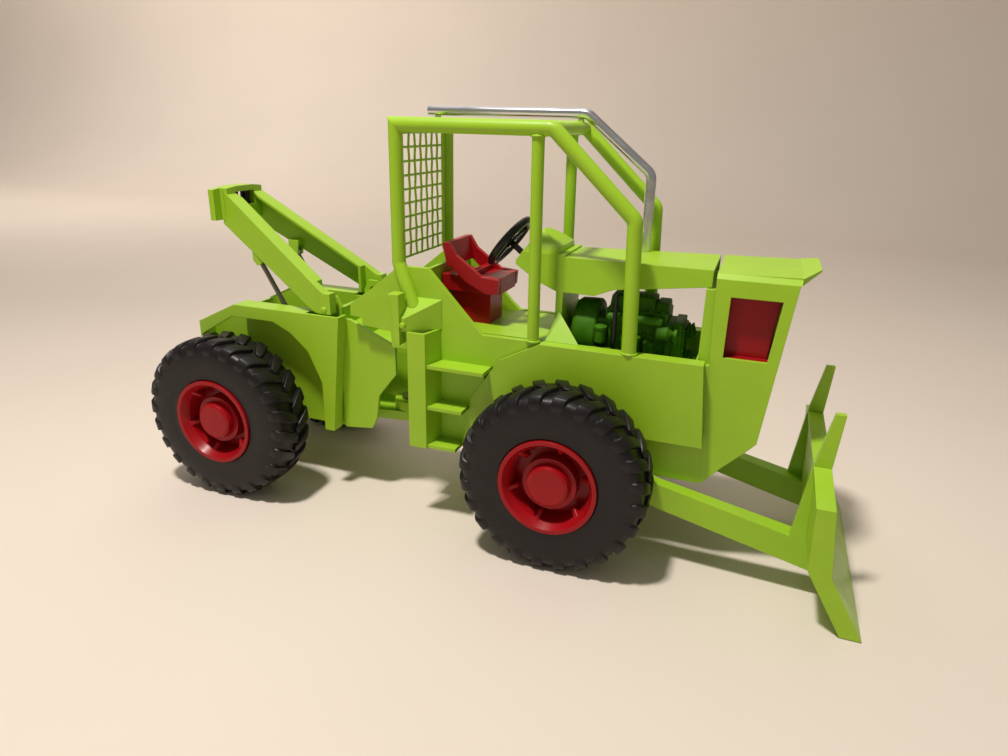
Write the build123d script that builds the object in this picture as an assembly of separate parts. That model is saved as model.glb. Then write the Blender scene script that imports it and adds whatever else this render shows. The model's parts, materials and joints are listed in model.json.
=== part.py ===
from build123d import *

import os
from math import cos, hypot, radians, sin

# Articulated log skidder, a toy model at 1:16, as separate pieces on ten moving groups.
#
# Millimetres, +X ahead, +Y to the left side, +Z up. Every piece is laid out from the front axle
# (x = 0 there) and moved at the end, so that the origin is on the ground under the middle of the
# model's length.

os.makedirs("parts", exist_ok=True)

# ---------------------------------------------------------------- wheels
TYRE_OD = 93.0
TREAD_WIDTH = 24.0
SIDEWALL_BULGE = 1.6      # the sidewall stands this far past the tread's edge
RIM_SEAT_R = 22.0         # where the tyre sits
RIM_FLANGE_R = RIM_SEAT_R + 2.0
RIM_LIP_R = RIM_SEAT_R - 2.4  # foot of the sloped lip inside the flange
RIM_WELL_R = RIM_SEAT_R - 3.5
RIM_FLOOR = 1.5           # floor of the well, outward from the tyre's middle plane
RIM_RING_R = 13.2
HUB_CAP_R = 10.0
TRACK = 102.6             # between the tyres' middle planes
SPINDLE_R = 3.0
AXLE_STUB_R = 8.0

# ---------------------------------------------------------------- layout along the machine
PIVOT_BACK = 104.0        # articulation pin behind the front axle
REAR_AXLE_BACK = 89.0     # rear axle behind the articulation pin

# ---------------------------------------------------------------- front frame
CHASSIS_HALF = 27.0       # half width of the belly and the radiator housing
CAB_SIDE_HALF = 30.0      # outside of the cab's side plates
FENDER_HALF = 33.0        # outside of the front and rear fender plates
PLATE = 1.8               # fender plates
BELLY_Z = 44.0
DECK_Z = 105.5            # top of fenders, cab floor and flanges
DECK_PLATE = 1.6
BAY_FLOOR_Z = 92.0
CHASSIS_REAR = 20.0       # chassis end ahead of the articulation pin
HOUSING_X = 62.0          # back of the radiator housing at its top
HOUSING_LEAN = 3.7        # the back stands this much further ahead at the belly
HOUSING_TOP_Z = 146.3
HOUSING_CREASE = (2.2, 2.3)  # the top's side edges slope down: inward, down
CAB_TOP_Z = 136.5         # top of the plates beside and behind the seat
FIREWALL_X = -10.0
FIREWALL_THICK = 3.5
BULKHEAD_X = -78.0

# ---------------------------------------------------------------- roll cage
CAGE_TUBE_R = 3.5
CAGE_POST_R = 2.9
CAGE_HALF = 29.5          # tube centres from the middle
CAGE_TOP_Z = 204.3
CAGE_REAR_X = -93.1
CAGE_BEND_X = -14.5       # where the roof tube turns down
CAGE_MID_X = -21.5
CAGE_FRONT_X = 24.7
POST_LEAN = 2.3           # the front posts stand this much further ahead at the deck
MID_POST_LEAN = 1.2
CAGE_FRONT_Z = 167.0      # top of the front post
CAGE_FOOT_X = -82.0
CAGE_KINK_Z = 138.0

# ---------------------------------------------------------------- rear frame
TROUGH_HALF = 23.0
TROUGH_WALL = 2.0
REAR_BELLY_Z = 38.0
TROUGH_FLOOR_Z = 54.0
REAR_FRONT = 27.0         # rear frame's box starts this far behind the pin
REAR_END = 29.0           # and ends this far behind the rear axle

# ---------------------------------------------------------------- arch and its cylinders
ARCH_PIVOT_BACK = 35.0    # behind the articulation pin
ARCH_PIVOT_Z = 108.5
ARM_FRONT = 4.0           # the arms end this far ahead of their pivot
ARM_SHEET = 1.7
HEAD_BACK = 79.0          # rear face of the arch's head behind its pivot
HEAD_THICK = 8.6
HEAD_PLATE = 3.5          # the head's rear plate, wider than the box ahead of it
HEAD_BOX_HALF = 15.0      # half width of that box between the arms
HEAD_HALF = 20.4
HEAD_LOW_Z = 149.7
HEAD_TOP_Z = 166.7
HEAD_CROWN = 1.5
WINDOW_HALF = 8.3         # half width of the head's window
WINDOW_LOW_Z = 157.2
WINDOW_TOP_Z = 165.0
ROLLER_R = 2.7            # cable rollers at both sides of the window
ROLLER_IN = 0.7
ARCH_PIN_R = 2.2
ARCH_PIN_OUT = 29.0       # outer end of the pivot pins
CYL_Y = 17.1
CYL_R = 3.2
ROD_R = 1.4
LUG_SHEET = 1.4
LUG_WEB_RISE = 3.6        # the web that joins a lug's cheeks, above the rod's eye
CYL_BASE_BACK = 47.0      # base pin behind the articulation pin
CYL_BASE_Z = 64.0
ROD_EYE_BACK = 85.5
ROD_EYE_Z = 129.2
BARREL_LENGTH = 38.0

# ---------------------------------------------------------------- blade
BLADE_HALF = 61.5
BLADE_TOP_Z = 67.0
BLADE_END_Z = 60.0        # top of the blade at its ends
BLADE_CLEAR_Z = 0.4       # cutting edge above the ground
BLADE_PIVOT = (18.0, 47.0)
BLADE_PIN_R = 2.5
BLADE_ARM_OUT = 35.8      # outside of the push arms and of the horns
HORN_THICK = 3.0
HORN_TOP_Z = 92.6

# ---------------------------------------------------------------- fits
RUN_GAP = 0.06            # radial clearance of a running fit
SEAT_GAP = 0.1            # between round pieces that sit in each other

AXLE_Z = TYRE_OD / 2
PIN_X = -PIVOT_BACK
REAR_X = PIN_X - REAR_AXLE_BACK
ARCH_X = PIN_X - ARCH_PIVOT_BACK
BLADE_TIP_X = 142.5
ORIGIN_X = (BLADE_TIP_X + REAR_X - TYRE_OD / 2) / 2
TREAD_TOP = DECK_Z - DECK_PLATE


# ---------------------------------------------------------------- helpers
def box(x0, x1, y0, y1, z0, z1):
    """A box between its corners."""
    return Pos((x0 + x1) / 2, (y0 + y1) / 2, (z0 + z1) / 2) * Box(x1 - x0, y1 - y0, z1 - z0)


def slab(points, y0, y1):
    """A side outline of (x, z) points, thick from y0 to y1."""
    face = make_face(Polyline(*[(x, y0, z) for x, z in points], close=True))
    return extrude(face, amount=y1 - y0, dir=(0, 1, 0))


def plan(points, z0, z1):
    """A plan outline of (x, y) points, thick from z0 to z1."""
    face = make_face(Polyline(*[(x, y, z0) for x, y in points], close=True))
    return extrude(face, amount=z1 - z0, dir=(0, 0, 1))


def section(points, x0, x1):
    """A cross outline of (y, z) points, thick from x0 to x1."""
    face = make_face(Polyline(*[(x0, y, z) for y, z in points], close=True))
    return extrude(face, amount=x1 - x0, dir=(1, 0, 0))


def rod_y(x, z, r, y0, y1):
    """A round bar across the machine."""
    return Pos(x, (y0 + y1) / 2, z) * Rot(90, 0, 0) * Cylinder(r, y1 - y0)


def rod_z(x, y, r, z0, z1):
    """An upright round bar."""
    return Pos(x, y, (z0 + z1) / 2) * Cylinder(r, z1 - z0)


def tube(points, radius, bend):
    """A round bar along straight runs with bends of one radius."""
    path = FilletPolyline(*points, radius=bend) if bend else Polyline(*points)
    start = path ^ 0
    return sweep(Plane(origin=start.position, z_dir=path % 0) * Circle(radius), path=path)


def both(shape):
    """The shape and its mirror image on the other side."""
    return [shape, mirror(shape, about=Plane.XZ)]


def between(x, x0, v0, x1, v1):
    """A value on the line from (x0, v0) to (x1, v1)."""
    return v0 + (v1 - v0) * (x - x0) / (x1 - x0)


NODES = {}


def node(name, *shapes):
    """Keep the solids of one named piece."""
    NODES[name] = [solid for shape in shapes for solid in shape.solids()]


# ---------------------------------------------------------------- front frame
# rear edge of the front fender, top to bottom: x, z
FENDER_EDGE = [(-16.0, DECK_Z), (-37.0, DECK_Z - 11.0), (-52.0, DECK_Z - 34.5), (-56.5, BELLY_Z)]
FENDER_FRONT_X = HOUSING_X - 0.5
FENDER_LOW_Z = 65.0
FENDER_ARCH_R = 35.0


def housing_back(z):
    """Where the back of the radiator housing is at a height."""
    return between(z, HOUSING_TOP_Z, HOUSING_X, BELLY_Z, HOUSING_X + HOUSING_LEAN)


def fender_edge_x(z):
    """Where the front fender's rear edge is at a height."""
    for (xa, za), (xb, zb) in zip(FENDER_EDGE, FENDER_EDGE[1:]):
        if zb <= z <= za:
            return between(z, za, xa, zb, xb)
    return FENDER_EDGE[-1][0]


WING_LOW_Z = 92.5         # lower edge of the cab's side plates behind the seat
WING_BACK = 19.0          # their tips behind the articulation pin


def front_frame():
    """Belly with its open engine bay, fenders and the plates around the seat."""
    rear_x = PIN_X + CHASSIS_REAR
    belly = slab([(rear_x, BELLY_Z), (housing_back(BELLY_Z), BELLY_Z),
                  (housing_back(TREAD_TOP), TREAD_TOP), (rear_x, TREAD_TOP)],
                 -CHASSIS_HALF, CHASSIS_HALF)
    bay_half = CHASSIS_HALF - 2
    bay = box(FIREWALL_X + 2, HOUSING_X - 5, -bay_half, bay_half, BAY_FLOOR_Z, DECK_Z)
    node("front_chassis", belly - bay)

    inner = FENDER_HALF - PLATE
    plate = slab([(FENDER_FRONT_X + 3.9, FENDER_LOW_Z), (FENDER_FRONT_X, DECK_Z), *FENDER_EDGE,
                  (-30.0, BELLY_Z), (-30.0, FENDER_LOW_Z)], inner, FENDER_HALF)
    plate -= rod_y(0, AXLE_Z, FENDER_ARCH_R, inner - 1, FENDER_HALF + 1)
    flange = box(FENDER_EDGE[0][0], FENDER_FRONT_X, bay_half, FENDER_HALF, TREAD_TOP, DECK_Z)
    node("front_fenders", *both(plate + flange))

    cab_front = FENDER_EDGE[0][0] - SEAT_GAP
    cab_side = slab([
        (-45.5, BELLY_Z), (-76.5, BELLY_Z), (-82.0, WING_LOW_Z), (PIN_X + 5.5, WING_LOW_Z),
        (PIN_X + 5.0, DECK_Z - 4.3), (PIN_X - 12.0, DECK_Z - 3.0), (PIN_X - 12.0, DECK_Z + 1.0),
        (PIN_X - WING_BACK, DECK_Z + 1.5), (PIN_X - WING_BACK, DECK_Z + 8.0),
        (PIN_X - 5.0, DECK_Z + 18.0), (CAGE_REAR_X, CAB_TOP_Z),
        (BULKHEAD_X + 1.0, CAB_TOP_Z), (-52.0, DECK_Z + 4.5), (-47.0, DECK_Z), (cab_front, DECK_Z),
        (cab_front, DECK_Z - 16.0), (-45.5, DECK_Z - 16.0)], CHASSIS_HALF, CAB_SIDE_HALF)
    node("cab_sides", *both(cab_side))
    node("cab_floor", box(rear_x, FIREWALL_X + 2, -CHASSIS_HALF + 2, CHASSIS_HALF - 2,
                          TREAD_TOP, DECK_Z),)
    node("seat_bulkhead", box(BULKHEAD_X - 2, BULKHEAD_X, -CHASSIS_HALF, CHASSIS_HALF,
                              DECK_Z, CAB_TOP_Z - 1.0))


STEP_END = [(-69.8, CAB_SIDE_HALF), (-72.9, 42.5)]  # face of the end plate, inside to outside: x, y
STEP_OUT = STEP_END[1][1]
STEP_SHEET = 1.5
STEP_LIP = 10.0           # the end plate's lip along the machine
SHROUD_LOW_Z = DECK_Z + 0.5
SHROUD_REAR_X = -86.3
SHROUD_TOP_Z = DECK_Z + 19.5
STEP_TREADS = [89.5, 67.0, 45.2]  # top of each tread


def steps():
    """Three treads a side between the fender and an angled end plate, and the shroud above."""
    (x_in, y_in), (x_out, y_out) = STEP_END
    low = BELLY_Z - 1
    step = plan([(x_in, y_in), (x_out, y_out), (x_out - STEP_LIP, y_out),
                 (x_out - STEP_LIP, y_out - STEP_SHEET), (x_out - STEP_SHEET, y_out - STEP_SHEET),
                 (x_in - STEP_SHEET, y_in)], low, SHROUD_LOW_Z)
    for top in STEP_TREADS:
        front = fender_edge_x(top - 2) - 0.3
        step += plan([(x_in - 1, y_in), (front, y_in), (front, y_out - 1), (x_out - 1, y_out - 1)],
                     top - 2, top)
    node("cab_steps", *both(step))

    outline = plan([(-69.0, CAB_SIDE_HALF), (-84.0, STEP_OUT), (SHROUD_REAR_X, STEP_OUT),
                    (SHROUD_REAR_X, CAB_SIDE_HALF)], SHROUD_LOW_Z, CAB_TOP_Z)
    slope = section([(CAB_SIDE_HALF, SHROUD_LOW_Z), (STEP_OUT, SHROUD_LOW_Z),
                     (STEP_OUT, DECK_Z + 7.5), (CAB_SIDE_HALF, DECK_Z + 15.9)], -100, -60)
    shroud = outline & slope
    x = SHROUD_REAR_X
    bracket = slab([(x, SHROUD_TOP_Z), (x - 6.0, SHROUD_TOP_Z), (x - 6.0, SHROUD_TOP_Z - 2.0),
                    (x - 4.2, SHROUD_TOP_Z - 2.0), (x - 2.6, DECK_Z - 6.5), (x, DECK_Z - 6.5)],
                   STEP_OUT - 5.5, STEP_OUT + 1.5)
    node("step_shrouds", *both(shroud + bracket))


def mitre(corner, side):
    """The half of space on one side of the cage's upper rear corner, cut at 45 degrees."""
    return Plane(origin=corner, z_dir=(1, 0, 1)) * Pos(0, 0, side * 20) * Box(40, 40, 40)


EXHAUST_Y = 16.0          # of the stack
EXHAUST_ROOF_Y = 18.0     # of the run over the roof
EXHAUST_Z = CAGE_TOP_Z + 7.0
EXHAUST_R = 2.55
EXHAUST_X = 23.0
CROSS_TUBE_R = CAGE_TUBE_R - 0.5


def roll_cage():
    """Two bent side hoops with a middle post each, cross tubes and the rear screen."""
    foot_y = CAB_SIDE_HALF + CAGE_TUBE_R + 0.1
    r = CAGE_TUBE_R
    sides = []
    for s in (-1, 1):
        y = s * CAGE_HALF
        corner = (CAGE_REAR_X, y, CAGE_TOP_Z)
        rear = tube([(CAGE_FOOT_X, s * foot_y, DECK_Z + 8.0), (CAGE_REAR_X, y, CAGE_KINK_Z),
                     (CAGE_REAR_X, y, CAGE_TOP_Z + r)], r, 5.0) - mitre(corner, 1)
        roof = tube([(CAGE_REAR_X - r, y, CAGE_TOP_Z), (CAGE_BEND_X, y, CAGE_TOP_Z),
                     (CAGE_FRONT_X, y, CAGE_FRONT_Z), (CAGE_FRONT_X + POST_LEAN, y, DECK_Z - 2)],
                    r, 5.0) - mitre(corner, -1)
        hoop = rear + roof
        hoop += tube([(CAGE_MID_X, y, CAGE_TOP_Z), (CAGE_MID_X + MID_POST_LEAN, y, DECK_Z - 2)],
                     CAGE_POST_R, 0)
        hoop -= box(CAGE_MID_X - 10, CAGE_FRONT_X + 12, y - 8, y + 8, DECK_Z - 6, DECK_Z)
        for other in NODES["cab_sides"] + NODES["step_shrouds"]:
            hoop -= other
        sides.append(hoop)
    node("cage_sides", *sides)
    bars = []
    for x in (CAGE_REAR_X, CAGE_BEND_X):
        bar = rod_y(x, CAGE_TOP_Z, CROSS_TUBE_R, -CAGE_HALF, CAGE_HALF)
        bar += box(x - 1.2, x + 1.2, EXHAUST_ROOF_Y - 1.4, EXHAUST_ROOF_Y + 1.4, CAGE_TOP_Z,
                   EXHAUST_Z - EXHAUST_R - SEAT_GAP)
        bars.append(bar - sides[0] - sides[1])
    node("cage_cross_tubes", *bars)

    columns, rows, bar_w, thick = 7, 9, 1.8, 1.2
    half = CAGE_HALF - CAGE_TUBE_R - 0.2
    low, high = CAB_TOP_Z + 2.5, CAGE_TOP_Z - CAGE_TUBE_R + 0.3
    screen = box(CAGE_REAR_X - thick / 2, CAGE_REAR_X + thick / 2, -half, half, low, high)
    pitch_y, pitch_z = (2 * half - bar_w) / columns, (high - low - bar_w) / rows
    for i in range(columns):
        for j in range(rows):
            y, z = -half + bar_w + i * pitch_y, low + bar_w + j * pitch_z
            screen -= box(CAGE_REAR_X - 2, CAGE_REAR_X + 2, y, y + pitch_y - bar_w,
                          z, z + pitch_z - bar_w)
    node("rear_screen", screen)


# ---------------------------------------------------------------- hood, cowl, engine
HOOD_REAR_HALF, HOOD_FRONT_HALF = 16.5, 21.7
HOOD_SHEET = 1.5
HOOD_FRONT_X = HOUSING_X - 1.8
HOOD_LOW_Z = 128.5


def hood_top(x):
    """Height of the hood's top."""
    return between(x, FIREWALL_X, HOUSING_TOP_Z - 0.5, HOOD_FRONT_X, HOUSING_TOP_Z + 0.5)


def hood_prism(inset, x0, x1, z_low, drop):
    """The space under the hood's outline, made smaller by inset and drop."""
    rear = between(x0, FIREWALL_X, HOOD_REAR_HALF, HOOD_FRONT_X, HOOD_FRONT_HALF) - inset
    front = between(x1, FIREWALL_X, HOOD_REAR_HALF, HOOD_FRONT_X, HOOD_FRONT_HALF) - inset
    flat = plan([(x0, -rear), (x1, -front), (x1, front), (x0, rear)], z_low, HOUSING_TOP_Z + 5)
    return flat & slab([(x0, z_low), (x1, z_low), (x1, hood_top(x1) - drop),
                        (x0, hood_top(x0) - drop)], -40, 40)


def hood_and_cowl():
    """The tapered hood, the fire wall with its gussets and the arched dash."""
    outer = hood_prism(0, FIREWALL_X, HOOD_FRONT_X, HOOD_LOW_Z, 0)
    outer &= slab([(FIREWALL_X, HOOD_LOW_Z), (6.0, HOOD_LOW_Z), (15.0, HOOD_LOW_Z + 4.0),
                   (HOOD_FRONT_X, HOUSING_TOP_Z - 7.3), (HOOD_FRONT_X, HOUSING_TOP_Z + 5),
                   (FIREWALL_X, HOUSING_TOP_Z + 5)], -40, 40)
    inner = hood_prism(HOOD_SHEET, FIREWALL_X - 5, HOOD_FRONT_X + 5, HOOD_LOW_Z - 5, HOOD_SHEET)
    node("hood", outer - inner)

    wall_rear = FIREWALL_X - FIREWALL_THICK
    node("firewall", box(wall_rear, FIREWALL_X, -HOOD_REAR_HALF, HOOD_REAR_HALF,
                         DECK_Z, HOUSING_TOP_Z + 0.5))
    y0, y1, top = HOOD_REAR_HALF, CHASSIS_HALF - 0.5, DECK_Z + 13.5
    corners = [(wall_rear + 2, y0, DECK_Z), (wall_rear - 2, y1, DECK_Z), (2.0, y1, DECK_Z),
               (wall_rear + 2, y0, top)]
    faces = [Face(Wire.make_polygon([corners[i] for i in ids]))
             for ids in ((0, 1, 2), (0, 1, 3), (1, 2, 3), (2, 0, 3))]
    node("cowl_gussets", *both(Solid(Shell(faces))))

    dash = slab([(-35.5, 140.0), (-35.5, 142.0), (-25.0, HOUSING_TOP_Z + 10.3), (-17.0, 152.0),
                 (wall_rear, 149.5), (wall_rear, 128.0), (-24.0, 132.5)], -15, 15)
    shoulder, crown = HOUSING_TOP_Z, HOUSING_TOP_Z + 10.6
    arch = make_face(Polyline((-40, 15, shoulder), (-40, 15, 120), (-40, -15, 120),
                              (-40, -15, shoulder))
                     + ThreePointArc((-40, -15, shoulder), (-40, 0, crown), (-40, 15, shoulder)))
    node("dash_cowl", dash & extrude(arch, amount=40, dir=(1, 0, 0)))


# engine pieces seen between deck and hood: name, x0, x1, half width, z0, z1
ENGINE = [
    ("engine_block", -6.0, 44.0, 13.0, BAY_FLOOR_Z, 116.0),
    ("cylinder_head", 11.0, 34.0, 11.5, 116.0, 128.5),
    ("cylinder_head", 34.0, 41.0, 9.0, 116.0, 126.0),
    ("engine_front_cover", 44.0, 48.5, 11.0, BAY_FLOOR_Z, 117.5),
    ("engine_front_cover", 48.5, 54.0, 8.0, BAY_FLOOR_Z, 112.5),
]


def engine():
    """Plain stepped blocks at the engine's place, the bell housing and the belt."""
    pieces = {}
    for name, x0, x1, half, z0, z1 in ENGINE:
        block = box(x0, x1, -half, half, z0, z1)
        pieces[name] = pieces[name] + block if name in pieces else block
    pieces["engine_block"] += slab([(-6.0, 115.0), (4.0, 115.0), (-1.0, 123.5), (-4.0, 123.5)], -9, 9)
    for name, shape in pieces.items():
        node(name, shape)
    node("engine_belt", box(16.0, 18.5, -20.5, -18.0, BAY_FLOOR_Z, HOOD_LOW_Z + 2.5))


def radiator():
    """The hollow housing with its side windows and bow, the core inside and the front bars."""
    x = HOUSING_X
    bow = [(housing_back(BELLY_Z), BELLY_Z), (x + 5.5, BELLY_Z + 1), (x + 13, BELLY_Z + 10),
           (x + 24, BELLY_Z + 21.5), (x + 27, BELLY_Z + 25)]
    nose_low, nose_high = bow[-1], (x + 34.5, HOUSING_TOP_Z - 2.3)
    shell = slab([*bow, nose_high, (x + 35, HOUSING_TOP_Z + 1), (x, HOUSING_TOP_Z)],
                 -CHASSIS_HALF, CHASSIS_HALF)
    visor = slab([(x + 35, HOUSING_TOP_Z + 1), (x + 42.5, HOUSING_TOP_Z + 3.6),
                  (x + 42.5, HOUSING_TOP_Z + 2.8), (x + 34.5, HOUSING_TOP_Z - 2.3)],
                 -CHASSIS_HALF, CHASSIS_HALF)
    visor &= plan([(x + 30, -CHASSIS_HALF), (x + 35, -CHASSIS_HALF), (x + 42.5, -15.5),
                   (x + 42.5, 15.5), (x + 35, CHASSIS_HALF), (x + 30, CHASSIS_HALF)], 120, 200)
    wall = 2.0
    low = BELLY_Z + 32

    def nose_x(z):
        """The nose's front at a height."""
        return between(z, nose_low[1], nose_low[0], nose_high[1], nose_high[0])

    high = HOUSING_TOP_Z - 3
    inner = CHASSIS_HALF - wall
    cavity = slab([(x - 1, low), (nose_x(low) - 2.5, low), (nose_x(high) - 2.5, high),
                   (x - 1, high)], -inner, inner)
    back = housing_back(low) + 1.5
    grille_half = CHASSIS_HALF - 6
    mouth = box(x + 15, x + 50, -grille_half, grille_half, low + 2, high - 3)
    window_top = HOUSING_TOP_Z - 9.7
    window = slab([(x + 7, DECK_Z + 3), (nose_x(DECK_Z + 3) - 5, DECK_Z + 3),
                   (nose_x(window_top) - 5, window_top), (x + 7, window_top)],
                  -CHASSIS_HALF - 1, CHASSIS_HALF + 1)
    inward, down = HOUSING_CREASE
    crease = section([(CHASSIS_HALF - inward, 160), (CHASSIS_HALF - inward, HOUSING_TOP_Z + 0.2),
                      (CHASSIS_HALF + 1, HOUSING_TOP_Z - down - 0.8), (CHASSIS_HALF + 1, 160)],
                     x - 10, x + 35)
    shell = shell + visor - cavity - mouth - window
    for part in both(crease):
        shell -= part
    node("radiator_housing", shell)

    core_half = inner - 4.5
    core = slab([(back, low), (nose_x(low) - 5.5, low), (nose_x(high) - 5.5, high - 0.4),
                 (back, high - 0.4)], -core_half, core_half)
    sill = box(x + 6, x + 27, -inner, inner, DECK_Z - 1.5, DECK_Z + 2.8)
    node("radiator_core", core + sill)

    bars = None
    rail = 2.0
    z_low, z_high = low + 2, high - 3
    for i in range(9):
        y = between(i, 0, -grille_half + 1.2, 8, grille_half - 1.2)
        bar = slab([(nose_x(z_low) - 2.3, z_low), (nose_x(z_low) - 0.3, z_low),
                    (nose_x(z_high) - 0.3, z_high), (nose_x(z_high) - 2.3, z_high)],
                   y - 0.9, y + 0.9)
        bars = bar if bars is None else bars + bar
    for z in (z_low, (z_low + z_high) / 2 - rail / 2, z_high - rail):
        bars += slab([(nose_x(z) - 2.3, z), (nose_x(z) - 0.8, z),
                      (nose_x(z + rail) - 0.8, z + rail), (nose_x(z + rail) - 2.3, z + rail)],
                     -grille_half, grille_half)
    node("radiator_bars", bars)
    top = HOUSING_TOP_Z - 7.8
    node("radiator_frame", slab([(x - 4, TREAD_TOP), (housing_back(TREAD_TOP), TREAD_TOP),
                                 (housing_back(top), top), (x - 4, top)], -inner + 1, inner - 1))


def exhaust():
    """Stack from the hood, bent back along the cage's roof, open at its end."""
    end, z = CAGE_REAR_X - 5.0, EXHAUST_Z
    runs = [(end, EXHAUST_ROOF_Y, z), (CAGE_BEND_X + 3.0, EXHAUST_ROOF_Y, z),
            (EXHAUST_X, EXHAUST_Y, z - 27.5), (EXHAUST_X, EXHAUST_Y, hood_top(EXHAUST_X) + 0.1)]
    pipe = tube(runs, EXHAUST_R, 6.0)
    mouth = Pos(end + 3.0, EXHAUST_ROOF_Y, z) * Rot(0, 90, 0) * Cylinder(EXHAUST_R - 0.5, 8)
    node("exhaust_pipe", pipe - mouth)


# ---------------------------------------------------------------- seat and steering
SEAT_HALF = 12.5
SEAT_TOP_Z = DECK_Z + 25.3
BACK_HALF = 15.5          # half width of the seat back and its arms
WHEEL_CENTRE = (-44.0, 148.5)
WHEEL_R = 14.0
WHEEL_RIM_R = 2.0
WHEEL_TILT = 38.0         # the wheel's axis above the horizontal, pointing back and up


def controls():
    """Box seat with its sloped arm hoop, the column and the steering wheel."""
    rear = BULKHEAD_X + 0.5
    cushion_low = SEAT_TOP_Z - 8.3
    node("seat_base", box(rear + 4, -51.0, -9, 9, DECK_Z, cushion_low))
    cushion = box(rear, -44.5, -SEAT_HALF, SEAT_HALF, cushion_low, SEAT_TOP_Z)
    node("seat_cushion", fillet(cushion.edges().filter_by(Axis.Z), 1.5))
    z = SEAT_TOP_Z
    frame = slab([(-75.5, z + 16.7), (-72.0, z + 17.0), (-69.3, z + 5.0), (-72.8, z + 4.7)],
                 -BACK_HALF, BACK_HALF)
    arm = slab([(-75.5, z + 16.7), (-72.0, z + 17.0), (-68.0, z + 10.8), (-54.0, z + 0.8),
                (-44.3, z - 0.2), (-44.8, z - 7.4), (-51.0, z - 8.0), (-62.5, z - 2.6),
                (-73.5, z + 7.4)], SEAT_HALF + SEAT_GAP, BACK_HALF)
    for part in both(arm):
        frame += part
    frame += box(-62.0, -58.0, -BACK_HALF + 1, BACK_HALF - 1, z + 0.05, z + 2.6)
    node("seat_back", frame)

    wx, wz = WHEEL_CENTRE
    axis = (-cos(radians(WHEEL_TILT)), 0, sin(radians(WHEEL_TILT)))
    at = Plane(origin=(wx, 0, wz), z_dir=axis)
    wheel = at * Torus(WHEEL_R, WHEEL_RIM_R) + at * Pos(0, 0, -0.5) * Cylinder(3.2, 2.6)
    for turn in (0, 120, 240):
        spoke = Rot(0, 0, turn) * Pos(WHEEL_R / 2, 0, -0.3) * Box(WHEEL_R, 2.2, 1.4)
        wheel += at * spoke
    node("steering_wheel", wheel)
    length = 20
    column = at * Pos(0, 0, -1.85 - length / 2) * Cylinder(1.6, length)
    node("steering_column", column - NODES["dash_cowl"][0])


# ---------------------------------------------------------------- articulation and axles
HINGE_R = 9.0
PIN_R = 3.0
# lugs: name, side they grow from (x), z0, z1
HINGE_LUGS = [
    ("front_hinge", PIN_X + CHASSIS_REAR, 46.5, 52.0),
    ("front_hinge", PIN_X + CHASSIS_REAR, 88.0, 93.5),
    ("rear_hinge", PIN_X - REAR_FRONT, 40.6, 46.1),
    ("rear_hinge", PIN_X - REAR_FRONT, 82.1, 87.6),
]


def hinges():
    """Two lugs on each half and the pins through them."""
    lugs = {"front_hinge": [], "rear_hinge": []}
    for name, root, z0, z1 in HINGE_LUGS:
        wide, narrow = 13.0, HINGE_R
        lug = plan([(root, -wide), (PIN_X, -narrow), (PIN_X, narrow), (root, wide)]
                   if root < PIN_X else
                   [(PIN_X, -narrow), (root, -wide), (root, wide), (PIN_X, narrow)], z0, z1)
        lug += rod_z(PIN_X, 0, HINGE_R, z0, z1)
        lug -= rod_z(PIN_X, 0, PIN_R + RUN_GAP, z0 - 1, z1 + 1)
        lugs[name].append(lug)
    for name, shapes in lugs.items():
        node(name, *shapes)
    pins = []
    for z0, z1 in ((39.5, 52.0), (81.0, 93.5)):
        pins.append(rod_z(PIN_X, 0, PIN_R, z0, z1) + rod_z(PIN_X, 0, PIN_R + 2, z1, z1 + 1.6))
    node("hinge_pins", *pins)


def axle(name, x, frame_half):
    """Stub axles with a brake flange and the spindle in the wheel's hub."""
    hub_y = TRACK / 2 - TREAD_WIDTH / 2
    stub = rod_y(x, AXLE_Z, AXLE_STUB_R, frame_half, hub_y)
    stub += rod_y(x, AXLE_Z, 11.0, hub_y - 2.0, hub_y)
    stub += rod_y(x, AXLE_Z, SPINDLE_R, hub_y, TRACK / 2 + 6.0)
    node(name, *both(stub))


def wheels():
    """Four dished rims and their tyres, each turned about its axle."""
    tread, side = TREAD_WIDTH / 2, TREAD_WIDTH / 2 + SIDEWALL_BULGE
    radius, seat, flange = TYRE_OD / 2, RIM_SEAT_R, RIM_FLANGE_R
    bore = SPINDLE_R + RUN_GAP
    # outline of the rim: radius, distance outward from the wheel's middle plane
    rim_outline = [
        (bore, -10.0), (11.5, -10.0), (11.5, -2.0), (seat - 2.0, -2.0), (seat - 2.0, -side),
        (flange, -side), (flange, -tread - 0.2), (seat, -tread - 0.2), (seat, tread + 0.2),
        (flange, tread + 0.2), (flange, side + 0.7), (seat, side + 0.7), (RIM_LIP_R, 9.8),
        (RIM_WELL_R, RIM_FLOOR), (RIM_RING_R, RIM_FLOOR), (RIM_RING_R, 9.0),
        (HUB_CAP_R + 0.8, 9.0), (HUB_CAP_R, 12.6), (HUB_CAP_R - 1.2, 13.4),
        (0.0, 13.4), (0.0, 7.0), (bore, 7.0)]
    # outline of the tyre's right half of the section, from bead to tread
    bead = seat + SEAT_GAP
    half = [(bead, tread), (flange + 0.3, tread), (flange + 5.0, side), (radius - 9.0, side),
            (radius - 3.0, tread), (radius, tread - 3.2)]
    tyre_outline = half + [(r, -w) for r, w in reversed(half)]
    for end, x in (("front", 0.0), ("rear", REAR_X)):
        for name, s in (("right", -1), ("left", 1)):
            for kind, outline in (("rim", rim_outline), ("tyre", tyre_outline)):
                face = make_face(Polyline(*[(r, s * w, 0) for r, w in outline], close=True))
                part = revolve(face, axis=Axis.Y)
                node(f"{kind}_{end}_{name}", Pos(x, s * TRACK / 2, AXLE_Z) * part)


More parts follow.
